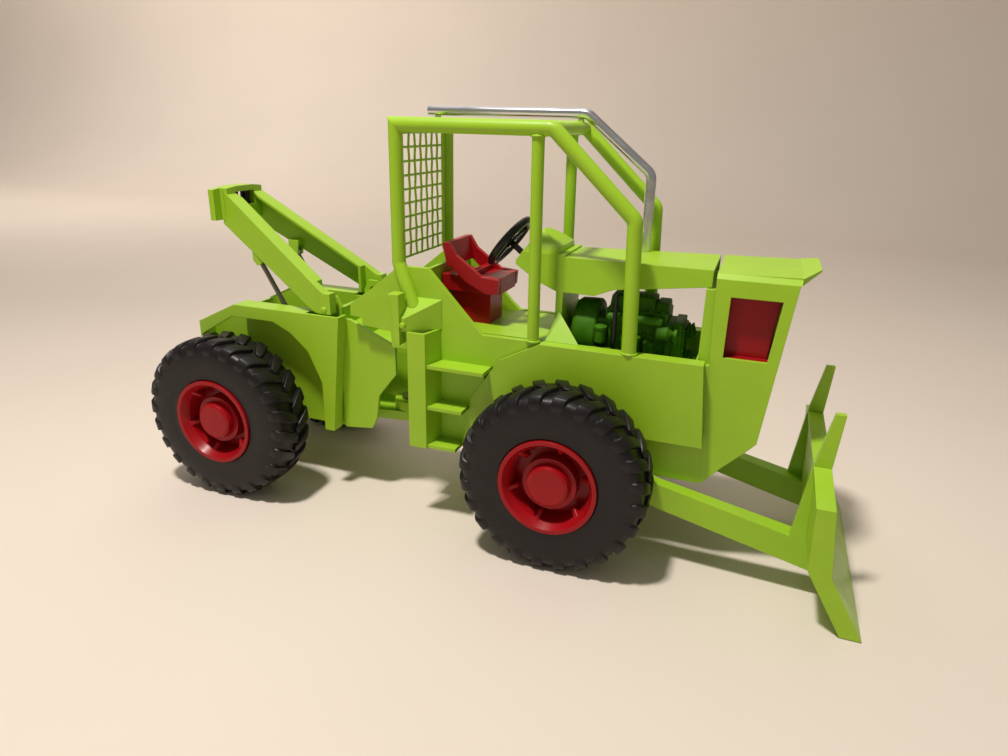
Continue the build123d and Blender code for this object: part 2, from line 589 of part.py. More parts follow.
# ---------------------------------------------------------------- rear frame
NOTCH_REAR = ARCH_X - 12.0
NOTCH_FRONT = ARCH_X + 8.2
NOTCH_DEPTH = 6.6         # below the arch pivot
BUTT_TOP_Z = DECK_Z - 13.5
RETURN_X = PIN_X - 25.0   # front of the rear fenders


def rear_frame():
    """Open trough with the fenders, corner panels, butt plate and pivot ears."""
    front, end = PIN_X - REAR_FRONT, REAR_X - REAR_END
    inner = TROUGH_HALF - TROUGH_WALL
    cross = ARCH_X - 6.5
    trough = box(end, front, -TROUGH_HALF, TROUGH_HALF, REAR_BELLY_Z, TREAD_TOP)
    trough -= box(end + 3, cross, -inner, inner, TROUGH_FLOOR_Z, DECK_Z)
    trough -= box(cross + 3, front + 1, -TROUGH_HALF - 1, TROUGH_HALF + 1, DECK_Z - 12, DECK_Z)
    trough -= slab([(REAR_X - 3, DECK_Z + 1), (REAR_X - 3, TREAD_TOP), (end - 1, BUTT_TOP_Z),
                    (end - 1, DECK_Z + 1)], -TROUGH_HALF - 1, TROUGH_HALF + 1)
    for ear in both(slab([(ARCH_X - 6, TREAD_TOP), (ARCH_X - 6, ARCH_PIVOT_Z),
                          (ARCH_X - 3, ARCH_PIVOT_Z + 6), (ARCH_X + 3, ARCH_PIVOT_Z + 6),
                          (ARCH_X + 6, ARCH_PIVOT_Z), (ARCH_X + 6, DECK_Z - 12),
                          (ARCH_X - 6, DECK_Z - 12)], inner, TROUGH_HALF)):
        trough += ear
    trough -= rod_y(ARCH_X, ARCH_PIVOT_Z, ARCH_PIN_R + RUN_GAP, -TROUGH_HALF - 1, TROUGH_HALF + 1)
    for pin in both(rod_y(PIN_X - CYL_BASE_BACK, CYL_BASE_Z, 1.5, CYL_Y - 3.4, inner + 0.5)):
        trough += pin
    node("rear_trough", trough)

    skin = FENDER_HALF - PLATE
    rise = AXLE_Z + 52.0
    fender = slab([
        (RETURN_X, DECK_Z), (REAR_X - 5, DECK_Z), (REAR_X - 31, DECK_Z - 12.5),
        (REAR_X - 31, DECK_Z - 21.5), (REAR_X - 28, DECK_Z - 19), (REAR_X - 7, rise),
        (REAR_X + 21, rise), (REAR_X + 32, rise - 5), (REAR_X + 43, rise - 14.5),
        (REAR_X + 51, rise - 32), (REAR_X + 51, REAR_BELLY_Z), (RETURN_X - 7, REAR_BELLY_Z)],
        skin, FENDER_HALF)
    flange = box(REAR_X - 5, RETURN_X - 2, inner, FENDER_HALF, TREAD_TOP, DECK_Z)
    fender += flange
    fender += slab([(RETURN_X - 2, DECK_Z), (RETURN_X, DECK_Z), (RETURN_X - 7, REAR_BELLY_Z),
                    (RETURN_X - 9, REAR_BELLY_Z)], TROUGH_HALF + 2, FENDER_HALF)
    fender -= box(NOTCH_REAR, NOTCH_FRONT, 0, skin, ARCH_PIVOT_Z - NOTCH_DEPTH, DECK_Z + 1)
    node("rear_fenders", *both(fender))

    corner = slab([
        (PIN_X - 29.5, REAR_BELLY_Z), (PIN_X - 12, REAR_BELLY_Z + 2), (PIN_X - 8.5, 47.0),
        (PIN_X - 6.5, 61.0), (PIN_X + 4.5, 75.0), (PIN_X + 4.5, 91.0), (PIN_X - 23.0, 103.0),
        (PIN_X - 29.5, 103.0)], TROUGH_HALF, TROUGH_HALF + 2)
    node("rear_corner_panels", *both(corner))
    node("butt_plate", box(end - 3.5, end, -FENDER_HALF + 1.8, FENDER_HALF - 1.8,
                           REAR_BELLY_Z + 2, BUTT_TOP_Z))


def winch():
    """A drum between two cheeks on the trough's floor."""
    x, z, half = REAR_X + 20.0, TROUGH_FLOOR_Z + 19.0, 11.5
    cheek = slab([(x - 13, TROUGH_FLOOR_Z), (x + 13, TROUGH_FLOOR_Z), (x + 9, z + 12),
                  (x - 9, z + 12)], half - 2, half)
    node("winch_cheeks", *both(cheek))
    drum = rod_y(x, z, 7.5, -half + 2, half - 2)
    for flange in both(rod_y(x, z, 11.0, half - 3.8, half - 2.2)):
        drum += flange
    node("winch_drum", drum)


# ---------------------------------------------------------------- arch
# the arms at two places behind the pivot: distance, outside, inside, top z, bottom z
ARM_ENDS = [(-4.0, 32.4, 22.6, 114.8, 99.3), (73.0, 15.0, 5.3, 165.8, 145.8)]


def arm_at(x, column):
    """One column of ARM_ENDS at a place along the machine."""
    (back0, *row0), (back1, *row1) = ARM_ENDS
    return between(x, ARCH_X - back0, row0[column], ARCH_X - back1, row1[column])


def arm_outside(x):
    """Half width over the arch's arms."""
    return arm_at(x, 0)


def arm_inside(x):
    """Half width between the arms' top flanges."""
    return arm_at(x, 1)


def arm_side(x0, x1, drop):
    """The arms' side outline between two places, its top lowered by drop."""
    return [(x0, arm_at(x0, 3)), (x1, arm_at(x1, 3)), (x1, arm_at(x1, 2) - drop),
            (x0, arm_at(x0, 2) - drop)]


def arch():
    """Two folded arms closing in on the head with its cable window, the rods' lugs, the pins."""
    rear, front = ARCH_X - HEAD_BACK + HEAD_PLATE, ARCH_X + ARM_FRONT
    root = ARCH_X - 9.0
    top = arm_at(ARCH_X, 2)
    heel = DECK_Z + 0.5
    side = slab([*arm_side(rear, root, 0)[:2], (ARCH_X - 6.5, heel), (front, heel), (front, top),
                 (ARCH_X, top), (rear, arm_at(rear, 2))], 0, 60)
    edge = [(front, arm_outside(front)), (rear, arm_outside(rear))]
    narrow = rear + 8.5
    arm = side & plan([(front, arm_inside(front)), *edge, (rear, WINDOW_HALF + 1.0),
                       (narrow, arm_inside(narrow))], 90, 200)
    hollow = slab(arm_side(rear - 1, root, ARM_SHEET), 0, 60)
    hollow += slab([(root, 80), (root, ARCH_PIVOT_Z), (rear - 1, ARCH_PIVOT_Z), (rear - 1, 80)], 0, 60)
    hollow &= plan([(front, 0), (front, arm_outside(front) - ARM_SHEET),
                    (rear - 1, arm_outside(rear - 1) - ARM_SHEET), (rear - 1, 0)], 70, 200)
    arm -= hollow
    arm -= box(ARCH_X - 7.5, front + 1, 0, TROUGH_HALF + 2.2, 80, 130)
    arm -= box(ARCH_X - 12, front + 1, FENDER_HALF - PLATE - 0.2, 60, 80, 130)
    arm -= rod_y(ARCH_X, ARCH_PIVOT_Z, ARCH_PIN_R + RUN_GAP, 0, ARCH_PIN_OUT + SEAT_GAP)
    node("arch_arms", *both(arm))

    head_rear = ARCH_X - HEAD_BACK
    head = section([(-HEAD_HALF, HEAD_LOW_Z), (-HEAD_HALF, HEAD_TOP_Z), (-7, HEAD_TOP_Z + HEAD_CROWN),
                    (7, HEAD_TOP_Z + HEAD_CROWN), (HEAD_HALF, HEAD_TOP_Z), (HEAD_HALF, HEAD_LOW_Z)],
                   head_rear, head_rear + HEAD_THICK)
    for y0, y1 in ((-30, -HEAD_BOX_HALF), (HEAD_BOX_HALF, 30)):
        head -= box(head_rear + HEAD_PLATE, head_rear + HEAD_THICK + 1, y0, y1, 140, 180)
    for other in both(arm):
        head -= other
    wide = WINDOW_HALF
    head -= box(head_rear - 1, head_rear + HEAD_THICK + 1, -wide, wide, WINDOW_LOW_Z, WINDOW_TOP_Z)
    head -= box(head_rear - 1, head_rear + HEAD_THICK + 1, -wide, wide, HEAD_LOW_Z - 1, 153.0)
    node("arch_head", head)
    roller = rod_z(head_rear + HEAD_THICK / 2, wide - ROLLER_R - ROLLER_IN, ROLLER_R,
                   WINDOW_LOW_Z, WINDOW_TOP_Z)
    node("arch_rollers", *both(roller))

    lugs, z_eye, x_eye = [], ROD_EYE_Z, PIN_X - ROD_EYE_BACK
    x_rear, x_front = x_eye - 3.0, x_eye + 4.0
    web_z, web_top = z_eye + LUG_WEB_RISE, z_eye + LUG_WEB_RISE + 3.0
    fork_in, fork_out = ROD_R + SEAT_GAP, ROD_R + SEAT_GAP + LUG_SHEET
    for y0 in (CYL_Y - fork_out, CYL_Y + fork_in):
        lugs.append(slab([(x_rear, z_eye), (x_rear, web_top), (x_front, web_top),
                          (x_eye + 3.0, z_eye - 2.0), (x_eye, z_eye - 3.0)], y0, y0 + LUG_SHEET))
    web = box(x_rear, x_front, CYL_Y - fork_out, CYL_Y + 6.0, web_z, web_top)
    pin = rod_y(x_eye, z_eye, 1.0, CYL_Y - fork_out, CYL_Y + fork_out)
    outside = [(x, arm_outside(x) - 0.25) for x in (x_rear - 1, x_front + 1)]
    within = plan([(x_rear - 1, 0), *outside, (x_front + 1, 0)], 100, 180)
    lug = (lugs[0] + web + lugs[1] + pin - arm) & within
    node("arch_rod_lugs", *both(lug))

    node("arch_pins", *both(rod_y(ARCH_X, ARCH_PIVOT_Z, ARCH_PIN_R, TROUGH_HALF - TROUGH_WALL,
                                  ARCH_PIN_OUT)))


def cylinders():
    """Lift cylinders of the arch: a bored barrel on its base pin, and the rod with its eye."""
    bx, bz = PIN_X - CYL_BASE_BACK, CYL_BASE_Z
    ex, ez = PIN_X - ROD_EYE_BACK, ROD_EYE_Z
    length = hypot(ex - bx, ez - bz)
    direction = ((ex - bx) / length, 0, (ez - bz) / length)
    at = Plane(origin=(bx, CYL_Y, bz), x_dir=(0, 1, 0), z_dir=direction)
    barrel = at * Pos(0, 0, BARREL_LENGTH / 2) * Cylinder(CYL_R, BARREL_LENGTH)
    barrel += rod_y(bx, bz, 4.2, CYL_Y - 2.0, CYL_Y + 2.0)
    barrel -= rod_y(bx, bz, 1.5 + RUN_GAP, CYL_Y - 5, CYL_Y + 5)
    bore = BARREL_LENGTH - 7.0
    barrel -= at * Pos(0, 0, BARREL_LENGTH - bore / 2 + 0.5) * Cylinder(ROD_R + RUN_GAP, bore + 1)
    node("arch_cylinders", *both(barrel))
    start = 16.0
    rod = at * Pos(0, 0, (start + length - 2.3) / 2) * Cylinder(ROD_R, length - 2.3 - start)
    rod += rod_y(ex, ez, 2.9, CYL_Y - 1.2, CYL_Y + 1.2)
    rod -= rod_y(ex, ez, 1.9, CYL_Y - 2, CYL_Y + 2)
    node("arch_rods", *both(rod))


# ---------------------------------------------------------------- blade
# outlines of the blade's back and front, top to bottom: x, z
BLADE_BACK = [(113.6, BLADE_TOP_Z), (115.0, 58.5), (116.3, 29.5), (133.5, BLADE_CLEAR_Z)]
BLADE_FRONT = [(BLADE_TIP_X, BLADE_CLEAR_Z), (126.2, 28.0), (122.4, 60.5), (121.1, BLADE_TOP_Z)]


def blade_back(z):
    """The blade's back at a height."""
    for (xa, za), (xb, zb) in zip(BLADE_BACK, BLADE_BACK[1:]):
        if zb <= z <= za:
            return between(z, za, xa, zb, xb)
    return BLADE_BACK[-1][0]


def blade():
    """Curved blade with its shoulders cut down, push arms, gussets and the log horns on its top."""
    plate = slab(BLADE_BACK + BLADE_FRONT, -BLADE_HALF, BLADE_HALF)
    for corner in both(section([(BLADE_ARM_OUT, BLADE_TOP_Z), (BLADE_ARM_OUT, BLADE_TOP_Z + 5),
                                (BLADE_HALF + 1, BLADE_TOP_Z + 5), (BLADE_HALF + 1, BLADE_END_Z),
                                (BLADE_HALF, BLADE_END_Z)], 100, 150)):
        plate -= corner
    node("blade", plate)

    px, pz = BLADE_PIVOT
    eye = 6.3
    side = slab([(px, pz + eye), (47.4, 43.9), (blade_back(28.4), 28.4), (blade_back(12.4), 12.4),
                 (48.5, 30.9), (px, pz - eye)], 20, 40)
    side += rod_y(px, pz, eye, 20, 40)
    arm = side & plan([(px - 8, 28.8), (47.0, 28.8), (110.0, 26.0), (140.0, 26.0),
                       (140.0, BLADE_ARM_OUT), (px - 8, BLADE_ARM_OUT)], 0, 60)
    arm -= plate
    arm -= rod_y(px, pz, BLADE_PIN_R + RUN_GAP, 20, 40)
    node("blade_arms", *both(arm))

    y0, y1 = BLADE_ARM_OUT - HORN_THICK, BLADE_ARM_OUT
    gusset = slab([(108.9, 28.5), (blade_back(BLADE_TOP_Z), BLADE_TOP_Z), (120.0, BLADE_TOP_Z),
                   (120.0, 20.0), (112.0, 20.0)], y0, y1)
    gusset = gusset - plate - arm
    solids = sorted(gusset.solids(), key=lambda solid: solid.volume)
    node("blade_gussets", *both(solids[-1]))
    horn = slab([(blade_back(BLADE_TOP_Z), BLADE_TOP_Z), (118.5, HORN_TOP_Z), (122.7, HORN_TOP_Z),
                 (BLADE_FRONT[-1][0], BLADE_TOP_Z)], y0, y1)
    node("blade_horns", *both(horn))
    node("blade_pins", *both(rod_y(px, pz, BLADE_PIN_R, CHASSIS_HALF, BLADE_ARM_OUT - 0.5)))


front_frame()
steps()
roll_cage()
hood_and_cowl()
engine()
radiator()
exhaust()
controls()
hinges()
axle("front_axle", 0.0, CHASSIS_HALF)
axle("rear_axle", REAR_X, TROUGH_HALF)
wheels()
rear_frame()
winch()
arch()
cylinders()
blade()

place = Pos(-ORIGIN_X, 0, 0)
for name, solids in NODES.items():
    placed = [place * solid for solid in solids]
    shape = placed[0] if len(placed) == 1 else Compound(children=placed)
    export_step(shape, f"parts/{name}.step")
print(len(NODES), "nodes; front axle at x", round(-ORIGIN_X, 3))
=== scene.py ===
"""Looks of the toy log skidder: tyres, rims, engine, screen, small fittings and every finish."""

from __future__ import annotations

import json
import logging
import math
from collections.abc import Callable, Sequence
from dataclasses import dataclass, field
from enum import Enum
from functools import cache

import bmesh
import bpy
from mathutils import Matrix, Vector

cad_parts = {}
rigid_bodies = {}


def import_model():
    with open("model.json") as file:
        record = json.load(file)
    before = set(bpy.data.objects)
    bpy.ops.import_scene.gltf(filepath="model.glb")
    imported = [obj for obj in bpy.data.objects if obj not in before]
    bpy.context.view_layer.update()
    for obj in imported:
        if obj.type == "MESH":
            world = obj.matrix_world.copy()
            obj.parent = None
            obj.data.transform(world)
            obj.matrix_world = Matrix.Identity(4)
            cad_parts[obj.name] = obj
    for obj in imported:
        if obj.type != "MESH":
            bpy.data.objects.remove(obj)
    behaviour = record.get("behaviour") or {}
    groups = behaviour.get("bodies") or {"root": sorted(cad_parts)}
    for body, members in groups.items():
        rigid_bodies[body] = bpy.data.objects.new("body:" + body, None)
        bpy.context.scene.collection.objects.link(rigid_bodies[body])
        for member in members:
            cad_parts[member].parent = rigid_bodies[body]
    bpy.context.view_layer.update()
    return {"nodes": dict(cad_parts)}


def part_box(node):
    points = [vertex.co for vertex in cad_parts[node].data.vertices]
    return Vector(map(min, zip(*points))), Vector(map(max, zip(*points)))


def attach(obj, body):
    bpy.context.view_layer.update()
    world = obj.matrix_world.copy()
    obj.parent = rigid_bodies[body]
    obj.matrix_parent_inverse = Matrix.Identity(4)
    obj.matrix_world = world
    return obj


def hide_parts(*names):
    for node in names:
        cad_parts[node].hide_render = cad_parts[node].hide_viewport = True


LOG = logging.getLogger("skidder")
MM = 0.001
Piece = bpy.types.Object
Tree = bpy.types.NodeTree
Socket = bpy.types.NodeSocket
Point = tuple[float, float, float]
Colour = tuple[float, float, float]
Box = tuple[Point, Point]
Profile = Sequence[tuple[float, float]]


class Side(Enum):
    """Side of the machine, as the sign of y."""

    RIGHT = -1
    LEFT = 1


class Axis(Enum):
    """Direction that a row of rings runs along."""

    X = (1.0, 0.0, 0.0)
    Y = (0.0, 1.0, 0.0)
    Z = (0.0, 0.0, 1.0)


class Body(Enum):
    """Moving groups that the new pieces ride on."""

    FRONT = "front_frame"
    ARCH = "arch"


# ---------------------------------------------------------------- modelling bench
class Bench:
    """Modelling operations in millimetres, each on one object that is selected alone."""

    SMOOTH = 38.0  # edges sharper than this many degrees stay sharp
    MERGE = 1e-6  # corners nearer than this are one, in metres

    @staticmethod
    def clear() -> None:
        """Leaves edit mode and deselects everything."""
        if bpy.context.mode != "OBJECT":
            bpy.ops.object.mode_set(mode="OBJECT")
        bpy.ops.object.select_all(action="DESELECT")

    @staticmethod
    def only(piece: Piece) -> None:
        """Selects one piece alone and makes it active."""
        Bench.clear()
        piece.select_set(True)
        bpy.context.view_layer.objects.active = piece

    @staticmethod
    def settle(name: str) -> Piece:
        """Names the new primitive and puts its place into its mesh.

        Args:
            name: name of the piece.

        Returns:
            The piece, with its object at the origin.
        """
        piece = bpy.context.view_layer.objects.active
        piece.name = name
        piece.data.name = name
        bpy.ops.object.transform_apply(location=True, rotation=True, scale=True)
        return piece

    @staticmethod
    def block(name: str, low: Point, high: Point) -> Piece:
        """Adds a block between two corners.

        Args:
            name: name of the piece.
            low: lowest corner, mm.
            high: highest corner, mm.

        Returns:
            The block, to be shaped further.
        """
        Bench.clear()
        middle = [(a + b) / 2 * MM for a, b in zip(low, high)]
        size = [(b - a) * MM for a, b in zip(low, high)]
        bpy.ops.mesh.primitive_cube_add(size=1, location=middle, scale=size)
        return Bench.settle(name)

    @staticmethod
    def rings(name: str, axis: Axis, stations: Sequence[tuple[Point, float]], sides: int = 24,
              closed: bool = False) -> Piece:
        """Extrudes a circle from ring to ring.

        Args:
            name: name of the piece.
            axis: the direction that every ring faces.
            stations: centre and radius of each ring, mm.
            sides: corners of each ring.
            closed: whether the last ring is bridged to the first; otherwise both ends are filled.

        Returns:
            The finished surface with its normals outward.
        """
        Bench.clear()
        turn = {Axis.X: (0, math.pi / 2, 0), Axis.Y: (math.pi / 2, 0, 0), Axis.Z: (0, 0, 0)}[axis]
        (start, radius), *rest = stations
        bpy.ops.mesh.primitive_circle_add(vertices=sides, radius=radius * MM, fill_type="NOTHING",
                                          location=[c * MM for c in start], rotation=turn)
        piece = Bench.settle(name)
        bpy.ops.object.mode_set(mode="EDIT")
        bpy.ops.mesh.select_mode(type="VERT")
        bpy.ops.mesh.select_all(action="SELECT")
        at = Vector(start)
        for centre, size in rest:
            step = (Vector(centre) - at) * MM
            bpy.ops.mesh.extrude_region_move(TRANSFORM_OT_translate={"value": tuple(step)})
            at = Vector(centre)
            if size != radius:
                factor = size / radius
                bpy.ops.transform.resize(value=(factor,) * 3, center_override=tuple(at * MM))
                radius = size
        if closed:
            bpy.ops.mesh.select_all(action="DESELECT")
            bpy.ops.mesh.select_mode(type="EDGE")
            bpy.ops.mesh.select_non_manifold()
            bpy.ops.mesh.bridge_edge_loops()
        else:
            bpy.ops.mesh.select_all(action="SELECT")
            bpy.ops.mesh.fill_holes(sides=0)
        Bench.face_outward()
        return piece

    @staticmethod
    def turned(name: str, axis: Axis, line: Point, profile: Profile, sides: int = 24) -> Piece:
        """Turns a profile about a line, as a lathe does.

        Args:
            name: name of the piece.
            axis: direction of the line.
            line: the point of the line where places along it are zero, mm.
            profile: place along the line and radius of each ring, mm.
            sides: corners of each ring.

        Returns:
            The finished surface with its normals outward.
        """
        stations = [(tuple(c + place * a for c, a in zip(line, axis.value)), radius)
                    for place, radius in profile]
        return Bench.rings(name, axis, stations, sides)

    @staticmethod
    def face_outward() -> None:
        """Merges doubles, turns every face of the piece in edit mode outward and leaves edit mode."""
        bpy.ops.mesh.select_mode(type="VERT")
        bpy.ops.mesh.select_all(action="SELECT")
        bpy.ops.mesh.remove_doubles(threshold=Bench.MERGE)
        bpy.ops.mesh.normals_make_consistent(inside=False)
        bpy.ops.object.mode_set(mode="OBJECT")

    @staticmethod
    def pick_faces(piece: Piece, test: Callable[[Vector], bool]) -> None:
        """Goes into edit mode and selects the faces that pass a test.

        Args:
            piece: the piece.
            test: says yes or no for a face's normal.
        """
        Bench.only(piece)
        bpy.ops.object.mode_set(mode="EDIT")
        bpy.ops.mesh.select_mode(type="FACE")
        bpy.ops.mesh.select_all(action="DESELECT")
        mesh = bmesh.from_edit_mesh(piece.data)
        for face in mesh.faces:
            face.select_set(test(face.normal))
        bmesh.update_edit_mesh(piece.data)

    @staticmethod
    def push(piece: Piece, test: Callable[[Vector], bool], inset: float, out: float) -> None:
        """Insets the faces that pass a test and moves them along their normals.

        Args:
            piece: the piece.
            test: chooses the faces.
            inset: width of the rim left round them, mm.
            out: how far they go, mm; below zero is into the piece.
        """
        Bench.pick_faces(piece, test)
        bpy.ops.mesh.inset(thickness=inset * MM, use_individual=True)
        bpy.ops.mesh.extrude_region_shrink_fatten(TRANSFORM_OT_shrink_fatten={"value": out * MM})
        bpy.ops.object.mode_set(mode="OBJECT")

    @staticmethod
    def taper(piece: Piece, test: Callable[[Vector], bool], factor: Point) -> None:
        """Scales the chosen faces about their own middle.

        Args:
            piece: the piece.
            test: chooses the faces.
            factor: scale along each axis.
        """
        Bench.pick_faces(piece, test)
        mesh = bmesh.from_edit_mesh(piece.data)
        corners = {v for f in mesh.faces if f.select for v in f.verts}
        middle = sum((v.co for v in corners), Vector()) / len(corners)
        bpy.ops.transform.resize(value=factor, center_override=tuple(middle))
        bpy.ops.object.mode_set(mode="OBJECT")

    @staticmethod
    def apply(piece: Piece, kind: str, **values: object) -> None:
        """Adds one modifier and applies it.

        Args:
            piece: the piece.
            kind: Blender's modifier type.
            values: its settings.
        """
        Bench.only(piece)
        modifier = piece.modifiers.new(kind.lower(), kind)
        for key, value in values.items():
            setattr(modifier, key, value)
        bpy.ops.object.modifier_apply(modifier=modifier.name)

    @staticmethod
    def smooth(piece: Piece, angle: float) -> None:
        """Shades a piece smooth, apart from edges sharper than an angle in degrees."""
        Bench.only(piece)
        bpy.ops.object.shade_smooth_by_angle(angle=math.radians(angle))

    @staticmethod
    def soften(piece: Piece, width: float, segments: int = 2, angle: float = 32.0) -> None:
        """Rounds the sharp edges and shades the piece smooth.

        Args:
            piece: the piece.
            width: width of the rounding, mm.
            segments: its steps.
            angle: edges sharper than this many degrees are rounded.
        """
        Bench.apply(piece, "BEVEL", width=width * MM, segments=segments, limit_method="ANGLE",
                    angle_limit=math.radians(angle), use_clamp_overlap=True)
        Bench.smooth(piece, Bench.SMOOTH)

    @staticmethod
    def copy(piece: Piece, name: str, move: Matrix) -> Piece:
        """Copies a piece with a mesh of its own.

        Args:
            piece: the piece to copy.
            name: the copy's name.
            move: what is done to the copy's mesh, in metres.

        Returns:
            The copy.
        """
        twin = piece.copy()
        twin.data = piece.data.copy()
        twin.name = name
        twin.data.name = name
        twin.data.transform(move)
        bpy.context.scene.collection.objects.link(twin)
        if move.determinant() < 0:
            Bench.only(twin)
            bpy.ops.object.mode_set(mode="EDIT")
            Bench.face_outward()
        return twin

    @staticmethod
    def join(name: str, pieces: Sequence[Piece]) -> Piece:
        """Joins pieces into the first.

        Args:
            name: name of the whole.
            pieces: what is joined.

        Returns:
            The whole.
        """
        Bench.only(pieces[0])
        for piece in pieces:
            piece.select_set(True)
        if len(pieces) > 1:
            bpy.ops.object.join()
        pieces[0].name = name
        pieces[0].data.name = name
        return pieces[0]

    @staticmethod
    def around(piece: Piece, count: int, first: float, name: str) -> list[Piece]:
        """Copies a piece evenly round the Y axis, and removes the pattern piece itself.

        Args:
            piece: the pattern piece.
            count: number of copies.
            first: angle of the first copy, degrees.
            name: stem of the copies' names.

        Returns:
            The copies.
        """
        angles = [math.radians(first + 360 * i / count) for i in range(count)]
        copies = [Bench.copy(piece, f"{name}_{i}", Matrix.Rotation(angle, 4, "Y"))
                  for i, angle in enumerate(angles)]
        bpy.data.objects.remove(piece)
        return copies


# ---------------------------------------------------------------- shared effects of the finishes
NUMBER, VECTOR, COLOUR = "NodeSocketFloat", "NodeSocketVector", "NodeSocketColor"


def add_node(tree: Tree, kind: str, feeds: dict[str | int, object], **settings: object) -> bpy.types.Node:
    """Adds a node to a material or a group.

    Args:
        tree: the nodes that it joins.
        kind: Blender's type of node.
        feeds: what each input gets, a socket that is linked to it or a value.
        settings: the node's own settings.

    Returns:
        The node.
    """
    node = tree.nodes.new(kind)
    for name, value in settings.items():
        setattr(node, name, value)
    for label, value in feeds.items():
        if isinstance(value, Socket):
            tree.links.new(value, node.inputs[label])
        else:
            node.inputs[label].default_value = value
    return node


class Effect:
    """A node group that more than one finish uses."""

    def __init__(self, name: str, inputs: dict[str, str], outputs: dict[str, str]) -> None:
        """Starts the group.

        Args:
            name: its name.
            inputs: type of each input, by name.
            outputs: type of each output, by name.
        """
        self.tree = bpy.data.node_groups.new(name, "ShaderNodeTree")
        for way, sockets in (("INPUT", inputs), ("OUTPUT", outputs)):
            for label, kind in sockets.items():
                self.tree.interface.new_socket(name=label, in_out=way, socket_type=kind)
        self.given = add_node(self.tree, "NodeGroupInput", {}).outputs

    def finish(self, **results: Socket) -> Tree:
        """Links the outputs.

        Args:
            results: what each output gives.

        Returns:
            The finished group.
        """
        add_node(self.tree, "NodeGroupOutput", results)
        return self.tree

    def noise(self, scale: Socket | float, detail: float, roughness: float = 0.5) -> Socket:
        """Gives a noise over the group's Vector."""
        feeds = {"Vector": self.given["Vector"], "Scale": scale, "Detail": detail, "Roughness": roughness}
        return add_node(self.tree, "ShaderNodeTexNoise", feeds).outputs["Fac"]

    def spread(self, value: Socket, low: float, high: float, first: Socket | float = 0.0,
               last: Socket | float = 1.0) -> Socket:
        """Stretches the part of a value from low to high until it runs from first to last."""
        feeds = {"Value": value, "From Min": low, "From Max": high, "To Min": first, "To Max": last}
        return add_node(self.tree, "ShaderNodeMapRange", feeds).outputs["Result"]

    def product(self, first: Socket, second: Socket | float) -> Socket:
        """Multiplies two values."""
        feeds = {0: first, 1: second}
        return add_node(self.tree, "ShaderNodeMath", feeds, operation="MULTIPLY").outputs[0]

    def blend(self, mask: Socket, below: Socket, above: Socket) -> Socket:
        """Lays one colour over another where a mask is high."""
        feeds = {"Factor": mask, "A": below, "B": above}
        return add_node(self.tree, "ShaderNodeMix", feeds, data_type="RGBA").outputs["Result"]


@cache
def uneven_coat() -> Tree:
    """Uneven depth of colour.

    Returns:
        The group: Color goes from Base to Shade over a soft pattern.
    """
    group = Effect("uneven_coat", {"Vector": VECTOR, "Scale": NUMBER, "Amount": NUMBER, "Base": COLOUR,
                                   "Shade": COLOUR}, {"Color": COLOUR})
    given = group.given
    cloud = group.noise(given["Scale"], 4.0, 0.6)
    mask = group.product(group.spread(cloud, 0.35, 0.72), given["Amount"])
    return group.finish(Color=group.blend(mask, given["Base"], given["Shade"]))


@cache
def soft_edges() -> Tree:
    """Rounded look of the edges and a mask of where they are, where the finishes paint a highlight mixed
    with wear.

    Returns:
        The group: Normal is rounded over Radius, and the mask output is high along edges, where a painted
            highlight mixed with wear goes.
    """
    group = Effect("soft_edges", {"Radius": NUMBER, "Strength": NUMBER},
                   {"Normal": VECTOR, "Mask": NUMBER})
    radius = group.given["Radius"]
    rounded = add_node(group.tree, "ShaderNodeBevel", {"Radius": radius}, samples=6).outputs["Normal"]
    flat = add_node(group.tree, "ShaderNodeNewGeometry", {}).outputs["Normal"]
    bend = add_node(group.tree, "ShaderNodeVectorMath", {0: rounded, 1: flat}, operation="DOT_PRODUCT")
    # mask along the edges, where the finishes paint a highlight mixed with wear
    edge = group.spread(bend.outputs["Value"], 0.995, 0.85)
    return group.finish(Normal=rounded, Mask=group.product(edge, group.given["Strength"]))


@cache
def surface_grain() -> Tree:
    """Fine relief of a sprayed, moulded or drawn surface.

    Returns:
        The group: Roughness between Low and High, and the Height of the relief.
    """
    group = Effect("surface_grain", {"Vector": VECTOR, "Scale": NUMBER, "Low": NUMBER, "High": NUMBER},
                   {"Roughness": NUMBER, "Height": NUMBER})
    given = group.given
    wide = group.noise(group.product(given["Scale"], 0.11), 3.0)
    return group.finish(Roughness=group.spread(wide, 0.3, 0.7, given["Low"], given["High"]),
                        Height=group.noise(given["Scale"], 2.0))


@cache
def shelf_dust() -> Tree:
    """Shelf dust on what faces up.

    Returns:
        The group: Color with dust over it.
    """
    group = Effect("shelf_dust", {"Vector": VECTOR, "Color": COLOUR, "Dust": COLOUR, "Amount": NUMBER},
                   {"Color": COLOUR})
    given = group.given
    normal = add_node(group.tree, "ShaderNodeNewGeometry", {}).outputs["Normal"]
    up = add_node(group.tree, "ShaderNodeSeparateXYZ", {0: normal}).outputs["Z"]
    patches = group.spread(group.noise(160.0, 6.0), 0.42, 0.7)
    mask = group.product(group.product(group.spread(up, 0.15, 0.95), patches), given["Amount"])
    return group.finish(Color=group.blend(mask, given["Color"], given["Dust"]))


